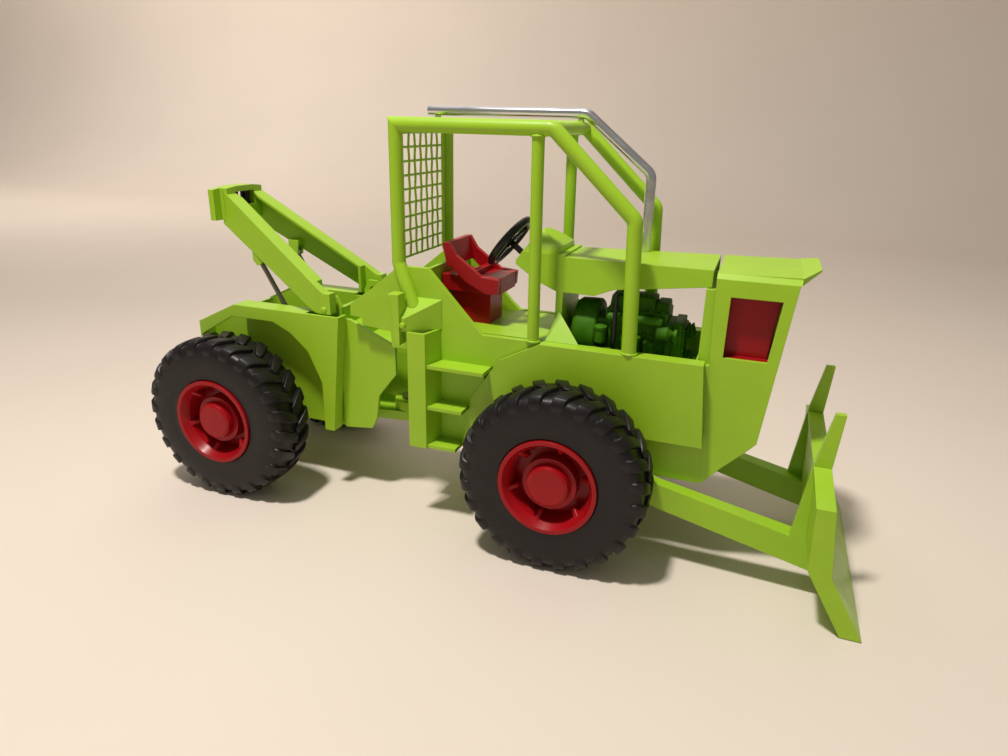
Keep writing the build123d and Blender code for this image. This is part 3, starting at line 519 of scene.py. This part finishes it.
# ---------------------------------------------------------------- finishes
@dataclass(frozen=True)
class Finish:
    """One finish: its colours, gloss, relief, wear and a painted edge highlight, with linear colours and
    lengths in metres.
    """

    name: str
    slot: str
    base: Colour
    shade: Colour
    # edge and its strength below: lighter colour along the edges, partly wear and partly a painted
    # highlight
    edge: Colour
    mottle_scale: float = 45.0
    mottle_amount: float = 0.35
    grain_scale: float = 900.0
    grain_height: float = 0.06
    rough_low: float = 0.3
    rough_high: float = 0.42
    edge_radius: float = 0.0004
    wear_and_highlight_strength: float = 0.35
    dust_colour: Colour = (0.62, 0.58, 0.5)
    dust_amount: float = 0.06
    metallic: float = 0.0
    coat: float = 0.0
    coat_roughness: float = 0.12
    specular: float = 0.35
    relief: float = 0.0004
    stretch: Point = (1.0, 1.0, 1.0)

    def material(self) -> bpy.types.Material:
        """Finds or builds the material.

        Returns:
            The material, made once for each finish.
        """
        if self.name in bpy.data.materials:
            return bpy.data.materials[self.name]
        made = bpy.data.materials.new(self.name)
        made.use_nodes = True
        tree = made.node_tree
        tree.nodes.clear()
        place = add_node(tree, "ShaderNodeTexCoord", {}).outputs["Object"]
        where = add_node(tree, "ShaderNodeMapping", {
            "Vector": place, "Scale": self.stretch}).outputs["Vector"]
        coat = add_node(tree, "ShaderNodeGroup", {
            "Vector": where, "Scale": self.mottle_scale, "Amount": self.mottle_amount,
            "Base": (*self.base, 1), "Shade": (*self.shade, 1)}, node_tree=uneven_coat())
        edges = add_node(tree, "ShaderNodeGroup", {
            "Radius": self.edge_radius, "Strength": self.wear_and_highlight_strength}, node_tree=soft_edges())
        # lighter edge colour over the coat: partly wear, partly a painted highlight
        worn_and_highlit = add_node(tree, "ShaderNodeMix", {
            "Factor": edges.outputs["Mask"], "A": coat.outputs["Color"], "B": (*self.edge, 1)},
            data_type="RGBA")
        dust = add_node(tree, "ShaderNodeGroup", {
            "Vector": where, "Color": worn_and_highlit.outputs["Result"], "Dust": (*self.dust_colour, 1),
            "Amount": self.dust_amount}, node_tree=shelf_dust())
        grain = add_node(tree, "ShaderNodeGroup", {
            "Vector": where, "Scale": self.grain_scale, "Low": self.rough_low, "High": self.rough_high},
            node_tree=surface_grain())
        bump = add_node(tree, "ShaderNodeBump", {
            "Strength": self.grain_height, "Distance": self.relief, "Height": grain.outputs["Height"],
            "Normal": edges.outputs["Normal"]})
        shader = add_node(tree, "ShaderNodeBsdfPrincipled", {
            "Metallic": self.metallic, "Coat Weight": self.coat, "Coat Roughness": self.coat_roughness,
            "Specular IOR Level": self.specular, "Base Color": dust.outputs["Color"],
            "Roughness": grain.outputs["Roughness"], "Normal": bump.outputs["Normal"]})
        add_node(tree, "ShaderNodeOutputMaterial", {"Surface": shader.outputs["BSDF"]})
        return made


LIME = Finish("lime_enamel", "green_paint", base=(0.36, 0.60, 0.022), shade=(0.27, 0.50, 0.014),
              edge=(0.52, 0.74, 0.12), coat=0.08, rough_low=0.36, rough_high=0.48, dust_amount=0.03)
CASTING = Finish("dark_green_casting", "dark_green_paint", base=(0.060, 0.200, 0.003),
                 shade=(0.022, 0.092, 0.001), edge=(0.13, 0.31, 0.007), specular=0.2,
                 mottle_amount=0.7, mottle_scale=110.0, grain_height=0.25, rough_low=0.45,
                 rough_high=0.62, dust_amount=0.0)
RED = Finish("red_enamel", "red_gloss", base=(0.36, 0.005, 0.009), shade=(0.22, 0.002, 0.004),
             edge=(0.60, 0.03, 0.04), rough_low=0.26, rough_high=0.4, coat=0.05, grain_height=0.04,
             dust_amount=0.0, specular=0.22)
RUBBER = Finish("moulded_rubber", "tyre_rubber", base=(0.0085, 0.0062, 0.0064),
                shade=(0.0130, 0.0098, 0.0098), edge=(0.026, 0.025, 0.029), rough_low=0.34,
                rough_high=0.48, specular=0.34, grain_scale=1500.0, grain_height=0.14,
                wear_and_highlight_strength=0.3, dust_amount=0.0, mottle_scale=70.0)
BLACK = Finish("moulded_black", "black_plastic", base=(0.006, 0.006, 0.006),
               shade=(0.010, 0.0095, 0.009), edge=(0.03, 0.03, 0.03), rough_low=0.22,
               rough_high=0.34, edge_radius=0.0002, dust_amount=0.0)
TUBE = Finish("polished_tube", "polished_pipe", base=(0.74, 0.74, 0.76), shade=(0.62, 0.62, 0.64),
              edge=(0.85, 0.85, 0.87), metallic=1.0, rough_low=0.16, rough_high=0.30,
              edge_radius=0.0002, wear_and_highlight_strength=0.1, grain_scale=2200.0, stretch=(0.12, 1.0, 1.0),
              dust_amount=0.02)
STEEL = Finish("drawn_steel", "bare_steel", base=(0.24, 0.22, 0.20), shade=(0.15, 0.14, 0.13),
               edge=(0.42, 0.41, 0.4), metallic=1.0, rough_low=0.28, rough_high=0.42,
               edge_radius=0.00015, grain_scale=1800.0, dust_amount=0.03)
BACKDROP = Finish("pale_backdrop", "floor", base=(0.80, 0.70, 0.60), shade=(0.74, 0.645, 0.55),
                  edge=(0.80, 0.70, 0.60), mottle_scale=3.0, mottle_amount=0.5, grain_scale=260.0,
                  grain_height=0.02, rough_low=0.8, rough_high=0.95, wear_and_highlight_strength=0.0,
                  dust_amount=0.0)
BY_SLOT = {finish.slot: finish for finish in (LIME, CASTING, RED, RUBBER, BLACK, TUBE, STEEL)}


def hand_over(piece: Piece, finish: Finish, body: str, *stands_for: str) -> Piece:
    """Dresses a finished piece and gives it to the body that it rides on.

    Args:
        piece: the piece.
        finish: its finish.
        body: name of its body.
        stands_for: CAD nodes that it replaces.

    Returns:
        The piece.
    """
    Bench.clear()
    piece.data.materials.clear()
    piece.data.materials.append(finish.material())
    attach(piece, body)
    if stands_for:
        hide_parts(*stands_for)
    LOG.info("%s: %d faces on %s", piece.name, len(piece.data.polygons), body)
    return piece


# ---------------------------------------------------------------- wheels
@dataclass
class Tyre:
    """Tractor tyre: a smooth carcass and two rows of curved lugs that meet in arrows pointing ahead.

    The carcass is radius and distance from the middle plane, from the bead to the tread. A lug's
    stations run from the tread's middle to the sidewall, and each is an angle in degrees, half a
    width, the radius and distance of the top, and the radius and distance of the root.
    """

    lugs_a_side: int = 24
    carcass: Profile = (
        (22.1, 12.0), (24.25, 12.05), (24.5, 13.1), (25.2, 13.35), (26.0, 13.2), (29.0, 13.6),
        (34.0, 13.6), (37.5, 13.5), (40.3, 13.05), (42.3, 12.2), (43.6, 10.8), (44.1, 8.6), (44.3, 4.0))
    crown: float = 44.35
    tread: float = 46.5
    lug: Sequence[tuple[float, float, tuple[float, float], tuple[float, float]]] = (
        (8.6, 1.6, (45.9, -0.9), (43.6, -0.5)), (7.6, 2.3, (46.4, 1.0), (43.6, 1.0)),
        (5.6, 2.75, (46.5, 3.6), (43.6, 3.6)), (3.7, 2.95, (46.5, 6.4), (43.4, 6.4)),
        (2.1, 3.05, (46.2, 9.2), (43.2, 9.0)), (1.0, 3.1, (45.2, 11.6), (42.6, 10.8)),
        (0.4, 3.0, (43.4, 13.05), (41.8, 11.9)), (0.1, 2.7, (41.2, 13.6), (40.4, 12.6)),
        (0.0, 2.2, (39.0, 13.45), (38.6, 12.9)))
    lug_flare: float = 0.75
    lug_rounding: float = 0.75
    blank: float = 8.0
    phase: dict[str, float] = field(default_factory=lambda: {
        "front_right": 4.0, "front_left": 9.0, "rear_right": 1.5, "rear_left": 12.0})

    def build(self) -> None:
        """Models one tyre at the origin and puts a copy on each wheel."""
        pattern = self._whole()
        for wheel, phase in self.phase.items():
            low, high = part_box(f"tyre_{wheel}")
            at = Matrix.Translation((low + high) / 2) @ Matrix.Rotation(math.radians(phase), 4, "Y")
            tyre = Bench.copy(pattern, f"lugged_tyre_{wheel}", at)
            hand_over(tyre, RUBBER, f"wheel_{wheel}", f"tyre_{wheel}")
        bpy.data.objects.remove(pattern)

    def _whole(self) -> Piece:
        """Joins carcass and lugs.

        Returns:
            A tyre at the origin with its axle along Y.
        """
        half = [((0, w, 0), r) for r, w in self.carcass]
        rings = half + [((0, 0, 0), self.crown)] + [((0, -w, 0), r) for r, w in reversed(self.carcass)]
        carcass = Bench.rings("carcass", Axis.Y, rings, sides=132, closed=True)
        Bench.smooth(carcass, 50)
        right, left = self._lug(Side.RIGHT.value), self._lug(Side.LEFT.value)
        step = 360 / self.lugs_a_side
        lugs = Bench.around(right, self.lugs_a_side, 0.0, "lug_right")
        lugs += Bench.around(left, self.lugs_a_side, step / 2, "lug_left")
        return Bench.join("tyre_pattern", [carcass, *lugs])

    def _lug(self, side: int) -> Piece:
        """Shapes one lug from a block cut across at every station.

        Args:
            side: sign of y.

        Returns:
            The lug at the top of the tyre.
        """
        lug = Bench.block("lug", (-1, 0, -1), (1, self.blank, 1))
        Bench.only(lug)
        bpy.ops.object.mode_set(mode="EDIT")
        bpy.ops.mesh.select_mode(type="EDGE")
        bpy.ops.mesh.select_all(action="DESELECT")
        mesh = bmesh.from_edit_mesh(lug.data)
        for edge in mesh.edges:
            along = edge.verts[0].co - edge.verts[1].co
            edge.select_set(abs(along.y) > self.blank / 2 * MM)
        bmesh.update_edit_mesh(lug.data)
        bpy.ops.mesh.subdivide(number_cuts=len(self.lug) - 2)
        mesh = bmesh.from_edit_mesh(lug.data)
        for corner in mesh.verts:
            x, y, z = corner.co / MM
            angle, half, top, root = self.lug[round(y / self.blank * (len(self.lug) - 1))]
            radius, away = top if z > 0 else root
            width = half if z > 0 else half + self.lug_flare
            turn = math.radians(angle) + math.copysign(width, x) / self.tread
            corner.co = Vector((radius * math.sin(turn), side * away, radius * math.cos(turn))) * MM
        bmesh.update_edit_mesh(lug.data)
        Bench.face_outward()
        Bench.soften(lug, self.lug_rounding, 3, 28)
        return lug


@dataclass
class RimWedges:
    """Six small wedges that stand in the well of each rim against its wall."""

    count: int = 6
    first: float = 14.0
    blank: Box = ((-1.6, -11.2, 15.6), (1.6, -1.2, 20.9))

    def build(self) -> None:
        """Models one set for the right side and copies it to the four wheels."""
        wedge = Bench.block("wedge", *self.blank)
        Bench.taper(wedge, lambda n: n.z < -0.9, (0.75, 0.25, 1.0))
        Bench.taper(wedge, lambda n: n.y < -0.5, (0.8, 1.0, 0.8))
        Bench.soften(wedge, 0.45, 3)
        ring = Bench.join("wedges", Bench.around(wedge, self.count, self.first, "wedge"))
        for side in Side:
            for end in ("front", "rear"):
                wheel = f"{end}_{side.name.lower()}"
                low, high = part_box(f"tyre_{wheel}")
                at = Matrix.Translation((low + high) / 2)
                mirror = Matrix.Diagonal((1, -side.value, 1, 1))
                piece = Bench.copy(ring, f"rim_wedges_{wheel}", at @ mirror)
                hand_over(piece, RED, f"wheel_{wheel}")
        bpy.data.objects.remove(ring)


# ---------------------------------------------------------------- rear screen
@dataclass
class RearScreen:
    """Woven wire screen between the rear posts, in its two side strips."""

    wire: float = 0.62
    strip: float = 3.0
    columns: int = 7
    rows: int = 9
    weave: float = 0.22
    border: float = 0.7
    tuck: float = 0.6
    gap: float = 0.1

    def build(self) -> None:
        """Weaves the wires and closes them with the strips."""
        low, high = (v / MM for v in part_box("rear_screen"))
        x = (low.x + high.x) / 2
        inner = high.y - self.strip
        columns = [-inner + 2 * inner * i / self.columns for i in range(1, self.columns)]
        top, foot = high.z - self.border, low.z + self.border
        rows = [foot + (top - foot) * i / self.rows for i in range(self.rows + 1)]
        wires = []
        for i, y in enumerate(columns):
            stations = [((x, y, low.z + self.gap), self.wire)]
            stations += [((x + self._side(i + k), y, z), self.wire) for k, z in enumerate(rows)]
            stations += [((x, y, high.z - self.gap), self.wire)]
            wires.append(Bench.rings(f"upright_{i}", Axis.Z, stations, sides=8))
        for k, z in enumerate(rows):
            stations = [((x, -inner - self.tuck, z), self.wire)]
            stations += [((x - self._side(i + k), y, z), self.wire) for i, y in enumerate(columns)]
            stations += [((x, inner + self.tuck, z), self.wire)]
            wires.append(Bench.rings(f"cross_{k}", Axis.Y, stations, sides=8))
        for side in Side:
            ends = sorted((side.value * inner, side.value * high.y))
            strip = Bench.block("strip", (low.x, ends[0], low.z), (high.x, ends[1], high.z))
            Bench.soften(strip, 0.3)
            wires.append(strip)
        screen = Bench.join("woven_screen", wires)
        Bench.smooth(screen, 60)
        hand_over(screen, LIME, Body.FRONT.value, "rear_screen")

    def _side(self, crossing: int) -> float:
        """Says how far a wire passes to one side at a crossing."""
        return self.weave if crossing % 2 else -self.weave


# ---------------------------------------------------------------- engine
@dataclass
class Engine:
    """Cast engine in the open bay: ribbed crankcase, head, bell housing, drives and a black hose.

    A profile is the places along its line and the radii there. A pulley is its height and radius,
    a bowl its x, y, foot, top and radius, and a log its side, radius and height.
    """

    case: Box = ((52.0, -10.5, 92.0), (92.5, 10.5, 116.2))
    flange: Box = ((51.5, -13.0, 98.5), (92.4, 13.0, 101.0))
    rib_places: Sequence[float] = (55.0, 62.0, 69.5, 77.0, 84.5, 90.0)
    rib: Box = ((-0.8, -12.2, 100.5), (0.8, 12.2, 115.6))
    plug_places: Sequence[float] = (66.0, 80.5)
    plug_z: float = 108.5
    plug: Profile = ((10.2, 3.0), (11.2, 3.0), (11.5, 2.5), (11.1, 1.9))
    bell_z: float = 107.5
    bell: Profile = ((42.6, 10.5), (43.2, 14.2), (45.0, 15.6), (50.5, 15.9), (54.5, 15.9), (55.5, 14.9))
    starter_line: Point = (0.0, -14.2, 99.0)
    starter: Profile = ((53.0, 2.6), (54.0, 3.6), (64.0, 3.6), (65.0, 3.0), (67.0, 2.0))

    head: Box = ((59.5, -11.2, 115.8), (89.4, 11.2, 121.5))
    cover: Box = ((60.5, -8.2, 121.2), (83.0, 8.2, 127.6))
    low_cover: Box = ((82.8, -8.6, 121.2), (89.2, 8.6, 125.8))
    cover_rib_places: Sequence[float] = (64.0, 69.0, 74.0, 79.0)
    cover_rib: Box = ((-0.5, -7.8, 121.5), (0.5, 7.8, 128.2))
    nut_places: Sequence[float] = (62.5, 71.5, 81.0, 87.0)
    nut_y: float = 9.6
    nut: Profile = ((121.3, 1.15), (122.5, 1.15), (122.9, 0.75))
    filler_line: Point = (66.5, 3.0, 0.0)
    filler: Profile = ((127.0, 1.6), (128.0, 1.6), (128.0, 2.1), (128.45, 1.9))

    timing: Box = ((92.2, -10.8, 92.0), (96.9, 10.8, 117.3))
    pulleys: Sequence[tuple[float, float]] = ((112.0, 4.2), (98.0, 4.8))
    pulley: Profile = ((98.6, 0.0), (99.3, 0.0), (100.0, -1.1), (100.7, 0.0), (101.4, 0.0), (101.7, -1.4))
    bolt_y: float = 8.8
    bolt_heights: Sequence[float] = (96.0, 104.0, 114.0)
    bolt: Profile = ((96.7, 0.9), (97.8, 0.9), (98.1, 0.6))

    logs: Sequence[tuple[Side, float, float]] = ((Side.RIGHT, 2.1, 118.6), (Side.LEFT, 1.8, 118.4))
    log_y: float = 14.6
    log: Sequence[tuple[float, float, float]] = (
        (61.0, 0.0, 0.6), (61.8, 0.0, 1.0), (70.0, 0.2, 1.05), (79.0, 0.0, 1.0), (87.0, -0.3, 0.95),
        (87.8, -0.3, 0.6))
    port_places: Sequence[float] = (63.5, 70.5, 77.5, 84.5)
    port: Profile = ((11.0, 2.0), (11.6, 2.0), (12.0, 1.5), (14.6, 1.4))

    bowls: Sequence[tuple[float, float, float, float, float]] = (
        (58.0, -14.0, 104.2, 113.8, 2.9), (75.0, -14.2, 101.2, 110.5, 2.8),
        (82.0, -14.2, 101.2, 108.5, 2.4), (60.0, 14.0, 102.0, 112.0, 2.6))
    alternator_line: Point = (0.0, -14.6, 113.2)
    alternator: Profile = ((85.0, 2.0), (85.6, 3.2), (90.6, 3.2), (91.2, 2.4), (93.6, 1.2), (93.6, 2.4),
                           (95.0, 2.4), (95.4, 1.4))
    pump: Box = ((67.5, -15.4, 103.2), (71.6, -11.6, 110.0))

    hose_radius: float = 1.2
    hose_groove: float = 0.86
    hose_end: float = 1.0
    hose_rings: int = 18

    def build(self) -> None:
        """Models the castings, then the parts hung on them."""
        hand_over(self._crankcase(), CASTING, Body.FRONT.value, "engine_block")
        hand_over(self._head(), CASTING, Body.FRONT.value, "cylinder_head")
        hand_over(self._front(), CASTING, Body.FRONT.value, "engine_front_cover")
        hand_over(self._manifolds(), CASTING, Body.FRONT.value)
        hand_over(self._fittings(), CASTING, Body.FRONT.value)
        hand_over(self._hose(), BLACK, Body.FRONT.value, "engine_belt")

    def _crankcase(self) -> Piece:
        """Crankcase with its sump flange, ribs and core plugs, the bell housing and the starter."""
        case = Bench.block("case", *self.case)
        Bench.soften(case, 0.8, 2)
        flange = Bench.block("flange", *self.flange)
        Bench.soften(flange, 0.5)
        parts = [case, flange]
        parts += self._ribs("rib", self.rib_places, self.rib, (1.0, 0.9, 1.0), 0.4)
        for x in self.plug_places:
            for side in Side:
                profile = [(side.value * place, radius) for place, radius in self.plug]
                parts.append(Bench.turned("plug", Axis.Y, (x, 0.0, self.plug_z), profile, 20))
        bell = Bench.turned("bell", Axis.X, (0.0, 0.0, self.bell_z), self.bell, 36)
        Bench.soften(bell, 0.4)
        starter = Bench.turned("starter", Axis.X, self.starter_line, self.starter, 20)
        Bench.soften(starter, 0.3)
        return self._shaded("cast_crankcase", [*parts, bell, starter])

    def _head(self) -> Piece:
        """Cylinder head, its rocker cover with ribs and cap nuts, and the filler."""
        head = Bench.block("head", *self.head)
        Bench.push(head, lambda n: abs(n.y) > 0.9, 1.2, -0.8)
        Bench.soften(head, 0.5)
        cover = Bench.block("cover", *self.cover)
        Bench.taper(cover, lambda n: n.z > 0.9, (0.94, 0.78, 1.0))
        Bench.push(cover, lambda n: n.z > 0.9, 1.4, 0.5)
        Bench.soften(cover, 0.9, 3)
        low = Bench.block("low_cover", *self.low_cover)
        Bench.taper(low, lambda n: n.z > 0.9, (0.9, 0.8, 1.0))
        Bench.soften(low, 0.7, 3)
        parts = [head, cover, low]
        parts += self._ribs("cover_rib", self.cover_rib_places, self.cover_rib, (0.7, 0.78, 1.0), 0.3)
        for x in self.nut_places:
            for side in Side:
                parts.append(Bench.turned("nut", Axis.Z, (x, side.value * self.nut_y, 0.0), self.nut, 6))
        parts.append(Bench.turned("filler", Axis.Z, self.filler_line, self.filler, 16))
        return self._shaded("cast_cylinder_head", parts)

    def _front(self) -> Piece:
        """Timing cover with its bolts, the crank pulley and the water pump's."""
        cover = Bench.block("timing", *self.timing)
        Bench.push(cover, lambda n: n.x > 0.9, 2.2, 1.2)
        Bench.soften(cover, 0.9, 3)
        parts = [cover]
        for z, radius in self.pulleys:
            profile = [(96.8, 2.2), (98.6, 2.2)]
            profile += [(x, radius + less) for x, less in self.pulley] + [(102.3, 1.4)]
            parts.append(Bench.turned("pulley", Axis.X, (0.0, 0.0, z), profile, 28))
        for side in Side:
            for z in self.bolt_heights:
                line = (0.0, side.value * self.bolt_y, z)
                parts.append(Bench.turned("bolt", Axis.X, line, self.bolt, 6))
        return self._shaded("timing_cover", parts)

    def _manifolds(self) -> Piece:
        """A manifold log with four ports on each side of the head."""
        parts = []
        for side, radius, z in self.logs:
            y = side.value * self.log_y
            parts.append(Bench.rings("log", Axis.X, [((x, y, z + rise), radius * share)
                                                     for x, rise, share in self.log], 18))
            profile = [(side.value * place, width) for place, width in self.port]
            parts += [Bench.turned("port", Axis.Y, (x, 0.0, z), profile, 14) for x in self.port_places]
        return self._shaded("manifolds", parts)

    def _fittings(self) -> Piece:
        """Filter bowls on both sides, and the alternator and the pump on the right."""
        parts = []
        for x, y, foot, top, radius in self.bowls:
            parts.append(Bench.turned("bowl", Axis.Z, (x, y, 0.0), [
                (foot, radius * 0.55), (foot + 0.9, radius * 0.95), (top - 2.2, radius),
                (top - 2.0, radius * 1.12), (top - 0.8, radius * 1.12), (top, radius * 0.7)], 20))
        parts.append(Bench.turned("alternator", Axis.X, self.alternator_line, self.alternator, 22))
        pump = Bench.block("pump", *self.pump)
        Bench.push(pump, lambda n: n.y < -0.9, 0.8, 0.7)
        Bench.soften(pump, 0.5)
        return self._shaded("engine_fittings", [*parts, pump])

    def _hose(self) -> Piece:
        """Upright black breather hose beside the engine."""
        low, high = (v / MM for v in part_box("engine_belt"))
        x, y = (low.x + high.x) / 2, (low.y + high.y) / 2
        run = high.z - low.z - 2 * self.hose_end
        profile = [(low.z, self.hose_radius)]
        for i in range(self.hose_rings):
            radius = self.hose_radius * (1 if i % 2 else self.hose_groove)
            profile.append((low.z + self.hose_end + run * i / (self.hose_rings - 1), radius))
        profile.append((high.z, self.hose_radius))
        hose = Bench.turned("ribbed_hose", Axis.Z, (x, y, 0.0), profile, 14)
        return self._shaded("breather_hose", [hose])

    @staticmethod
    def _ribs(name: str, places: Sequence[float], rib: Box, taper: Point, rounding: float) -> list[Piece]:
        """Stands a row of ribs across a casting.

        Args:
            name: the ribs' name.
            places: x of each rib, mm.
            rib: a rib's corners, as they are at x = 0, mm.
            taper: scale of its top.
            rounding: width of its rounded edges, mm.

        Returns:
            The ribs.
        """
        (left, *near), (right, *far) = rib
        ribs = []
        for x in places:
            ribs.append(Bench.block(name, (x + left, *near), (x + right, *far)))
            Bench.taper(ribs[-1], lambda n: n.z > 0.9, taper)
            Bench.soften(ribs[-1], rounding)
        return ribs

    @staticmethod
    def _shaded(name: str, parts: Sequence[Piece]) -> Piece:
        """Joins the parts of a casting and shades them smooth.

        Args:
            name: the casting's name.
            parts: its parts.

        Returns:
            The casting.
        """
        whole = Bench.join(name, parts)
        Bench.smooth(whole, 40)
        return whole


# ---------------------------------------------------------------- small fittings
@dataclass
class Fittings:
    """Pin heads on the arch, weld beads at the cage's posts and pins at the step shrouds.

    A weld is its x, its height and the radius of its tube.
    """

    arch_pivot: Point = (-90.5, 0.0, 108.5)
    arm_outside: float = 31.0
    arch_head: Profile = ((-0.3, 1.7), (0.45, 1.7), (0.95, 1.25), (1.1, 0.5))
    post_y: float = 29.5
    welds: Sequence[Point] = ((28.2, 106.0, 3.0), (75.5, 106.0, 3.6), (27.0, 201.0, 3.0))
    weld_radius: float = 0.6
    weld_gap: float = 0.1
    weld_unevenness: float = 0.12
    shroud_pin: Point = (-36.4, 0.0, 109.4)
    shroud_head: Profile = ((40.5, 1.5), (43.8, 1.5), (44.3, 1.1))
    rounding: float = 0.2

    def build(self) -> None:
        """Makes every set of fittings."""
        head = [(self.arm_outside + place, radius) for place, radius in self.arch_head]
        hand_over(self._pins("arch_pivot_heads", self.arch_pivot, head), LIME, Body.ARCH.value)
        beads = [self._bead((x, side.value * self.post_y, z), radius)
                 for side in Side for x, z, radius in self.welds]
        hand_over(Bench.join("cage_welds", beads), LIME, Body.FRONT.value)
        hand_over(self._pins("shroud_pins", self.shroud_pin, self.shroud_head), LIME, Body.FRONT.value)

    def _pins(self, name: str, line: Point, profile: Profile) -> Piece:
        """Makes a pair of pins, one on each side, with rounded heads.

        Args:
            name: name of the pair.
            line: the point of the pins' line on the middle plane, mm.
            profile: distance from the middle plane and radius of each ring, mm.

        Returns:
            The pair.
        """
        pins = []
        for side in Side:
            rings = [(side.value * place, radius) for place, radius in profile]
            pins.append(Bench.turned("pin", Axis.Y, line, rings, 20))
        pair = Bench.join(name, pins)
        Bench.soften(pair, self.rounding)
        return pair

    def _bead(self, place: Point, radius: float) -> Piece:
        """Makes one uneven bead round an upright tube.

        Args:
            place: its centre, mm.
            radius: the tube's radius, mm.

        Returns:
            The bead.
        """
        Bench.clear()
        bpy.ops.mesh.primitive_torus_add(
            location=[c * MM for c in place], major_radius=(radius + self.weld_gap) * MM,
            minor_radius=self.weld_radius * MM, major_segments=40, minor_segments=8)
        bead = Bench.settle("bead")
        bpy.ops.object.mode_set(mode="EDIT")
        bpy.ops.mesh.select_all(action="SELECT")
        bpy.ops.transform.vertex_random(offset=self.weld_unevenness * MM, seed=4)
        bpy.ops.object.mode_set(mode="OBJECT")
        bpy.ops.object.shade_smooth()
        return bead


# ---------------------------------------------------------------- stage
@dataclass(frozen=True)
class Lamp:
    """A square lamp: its place, the point that it faces and its side in m, and its power in W."""

    name: str
    place: Point
    target: Point
    size: float
    power: float
    colour: Colour

    def build(self) -> None:
        """Adds the lamp."""
        Bench.clear()
        bpy.ops.object.light_add(type="AREA", location=self.place)
        lamp = bpy.context.view_layer.objects.active
        lamp.name = self.name
        lamp.data.size = self.size
        lamp.data.energy = self.power
        lamp.data.color = self.colour
        aim = Vector(self.target) - Vector(self.place)
        lamp.rotation_euler = aim.to_track_quat("-Z", "Y").to_euler()


@dataclass
class Stage:
    """Pale sweep, soft lights and the camera, in metres and degrees."""

    eye: Point = (0.1265, -0.3436, 0.2074)
    yaw: float = -19.78
    pitch: float = 20.25
    roll: float = 1.41
    lens: float = 25.0
    sensor: float = 36.0
    nearest: float = 0.001
    floor_half: float = 6.0
    back: float = 1.1
    height: float = 1.6
    cove: float = 0.5
    cove_steps: int = 12
    surroundings: Colour = (1.0, 0.95, 0.89)
    surroundings_strength: float = 0.25
    lamps: Sequence[Lamp] = (
        Lamp("key", (-0.12, -0.30, 0.97), (0.0, 0.0, 0.08), 0.08, 8.4, (1.0, 0.96, 0.91)),
        Lamp("ceiling", (-0.35, 0.75, 1.45), (0.0, 0.0, 0.08), 1.4, 3.8, (1.0, 0.97, 0.93)),
        Lamp("backdrop", (-1.3, 0.45, 1.2), (-1.7, 1.5, 0.8), 0.8, 15.0, (1.0, 0.96, 0.92)))

    def build(self) -> None:
        """Sets the floor, the world, the lights and the camera."""
        self._floor()
        self._world()
        for lamp in self.lamps:
            lamp.build()
        self._camera()

    def _floor(self) -> None:
        """Makes one sheet that runs from the floor up into the backdrop."""
        Bench.clear()
        bpy.ops.mesh.primitive_plane_add(size=2 * self.floor_half, location=(0, 0, 0))
        floor = Bench.settle("pale_floor")
        bpy.ops.object.mode_set(mode="EDIT")
        bpy.ops.mesh.select_all(action="DESELECT")
        bpy.ops.mesh.select_mode(type="EDGE")
        mesh = bmesh.from_edit_mesh(floor.data)
        for vertex in mesh.verts:
            if vertex.co.y > 0:
                vertex.co.y = self.back
        for edge in mesh.edges:
            edge.select_set(all(v.co.y > 0 for v in edge.verts))
        bmesh.update_edit_mesh(floor.data)
        for i in range(self.cove_steps):
            a, b = (math.pi / 2 * k / self.cove_steps for k in (i, i + 1))
            move = (0, self.cove * (math.sin(b) - math.sin(a)), self.cove * (math.cos(a) - math.cos(b)))
            bpy.ops.mesh.extrude_region_move(TRANSFORM_OT_translate={"value": move})
        bpy.ops.mesh.extrude_region_move(TRANSFORM_OT_translate={"value": (0, 0, self.height)})
        bpy.ops.object.mode_set(mode="OBJECT")
        bpy.ops.object.shade_smooth()
        floor.data.materials.append(BACKDROP.material())

    def _world(self) -> None:
        """Gives the surroundings a soft warm white."""
        world = bpy.data.worlds.new("studio")
        world.use_nodes = True
        background = world.node_tree.nodes["Background"]
        background.inputs["Color"].default_value = (*self.surroundings, 1)
        background.inputs["Strength"].default_value = self.surroundings_strength
        bpy.context.scene.world = world

    def _camera(self) -> None:
        """Puts the camera at its angle."""
        yaw, pitch, roll = (math.radians(a) for a in (self.yaw, self.pitch, self.roll))
        ahead = Vector((math.sin(yaw) * math.cos(pitch), math.cos(yaw) * math.cos(pitch),
                        -math.sin(pitch)))
        level = Vector((math.cos(yaw), -math.sin(yaw), 0))
        upright = level.cross(ahead)
        right = math.cos(roll) * level + math.sin(roll) * upright
        up = -math.sin(roll) * level + math.cos(roll) * upright
        Bench.clear()
        bpy.ops.object.camera_add()
        camera = bpy.context.view_layer.objects.active
        camera.data.lens = self.lens
        camera.data.sensor_width = self.sensor
        camera.data.clip_start = self.nearest
        camera.matrix_world = Matrix((
            (right.x, up.x, -ahead.x, self.eye[0]), (right.y, up.y, -ahead.y, self.eye[1]),
            (right.z, up.z, -ahead.z, self.eye[2]), (0, 0, 0, 1)))
        bpy.context.scene.camera = camera


def dress_frame(frame: dict) -> None:
    """Gives every CAD node the finish of its slot.
    """
    for name, node in frame["nodes"].items():
        slot = node.data.materials[0].name.split(".")[0]
        for index in range(len(node.data.materials)):
            node.data.materials[index] = BY_SLOT[slot].material()
        LOG.info("%s: %s", name, slot)


def main() -> None:
    """Builds the whole of the looks around the frame."""
    logging.basicConfig(level=logging.INFO, format="%(message)s")
    for spare in list(bpy.data.objects):
        bpy.data.objects.remove(spare)
    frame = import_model()
    bpy.context.scene.view_settings.view_transform = "Standard"
    dress_frame(frame)
    for assembly in (Tyre(), RimWedges(), RearScreen(), Engine(), Fittings(), Stage()):
        assembly.build()
        LOG.info("%s built", type(assembly).__name__)


if __name__ == "__main__":
    main()
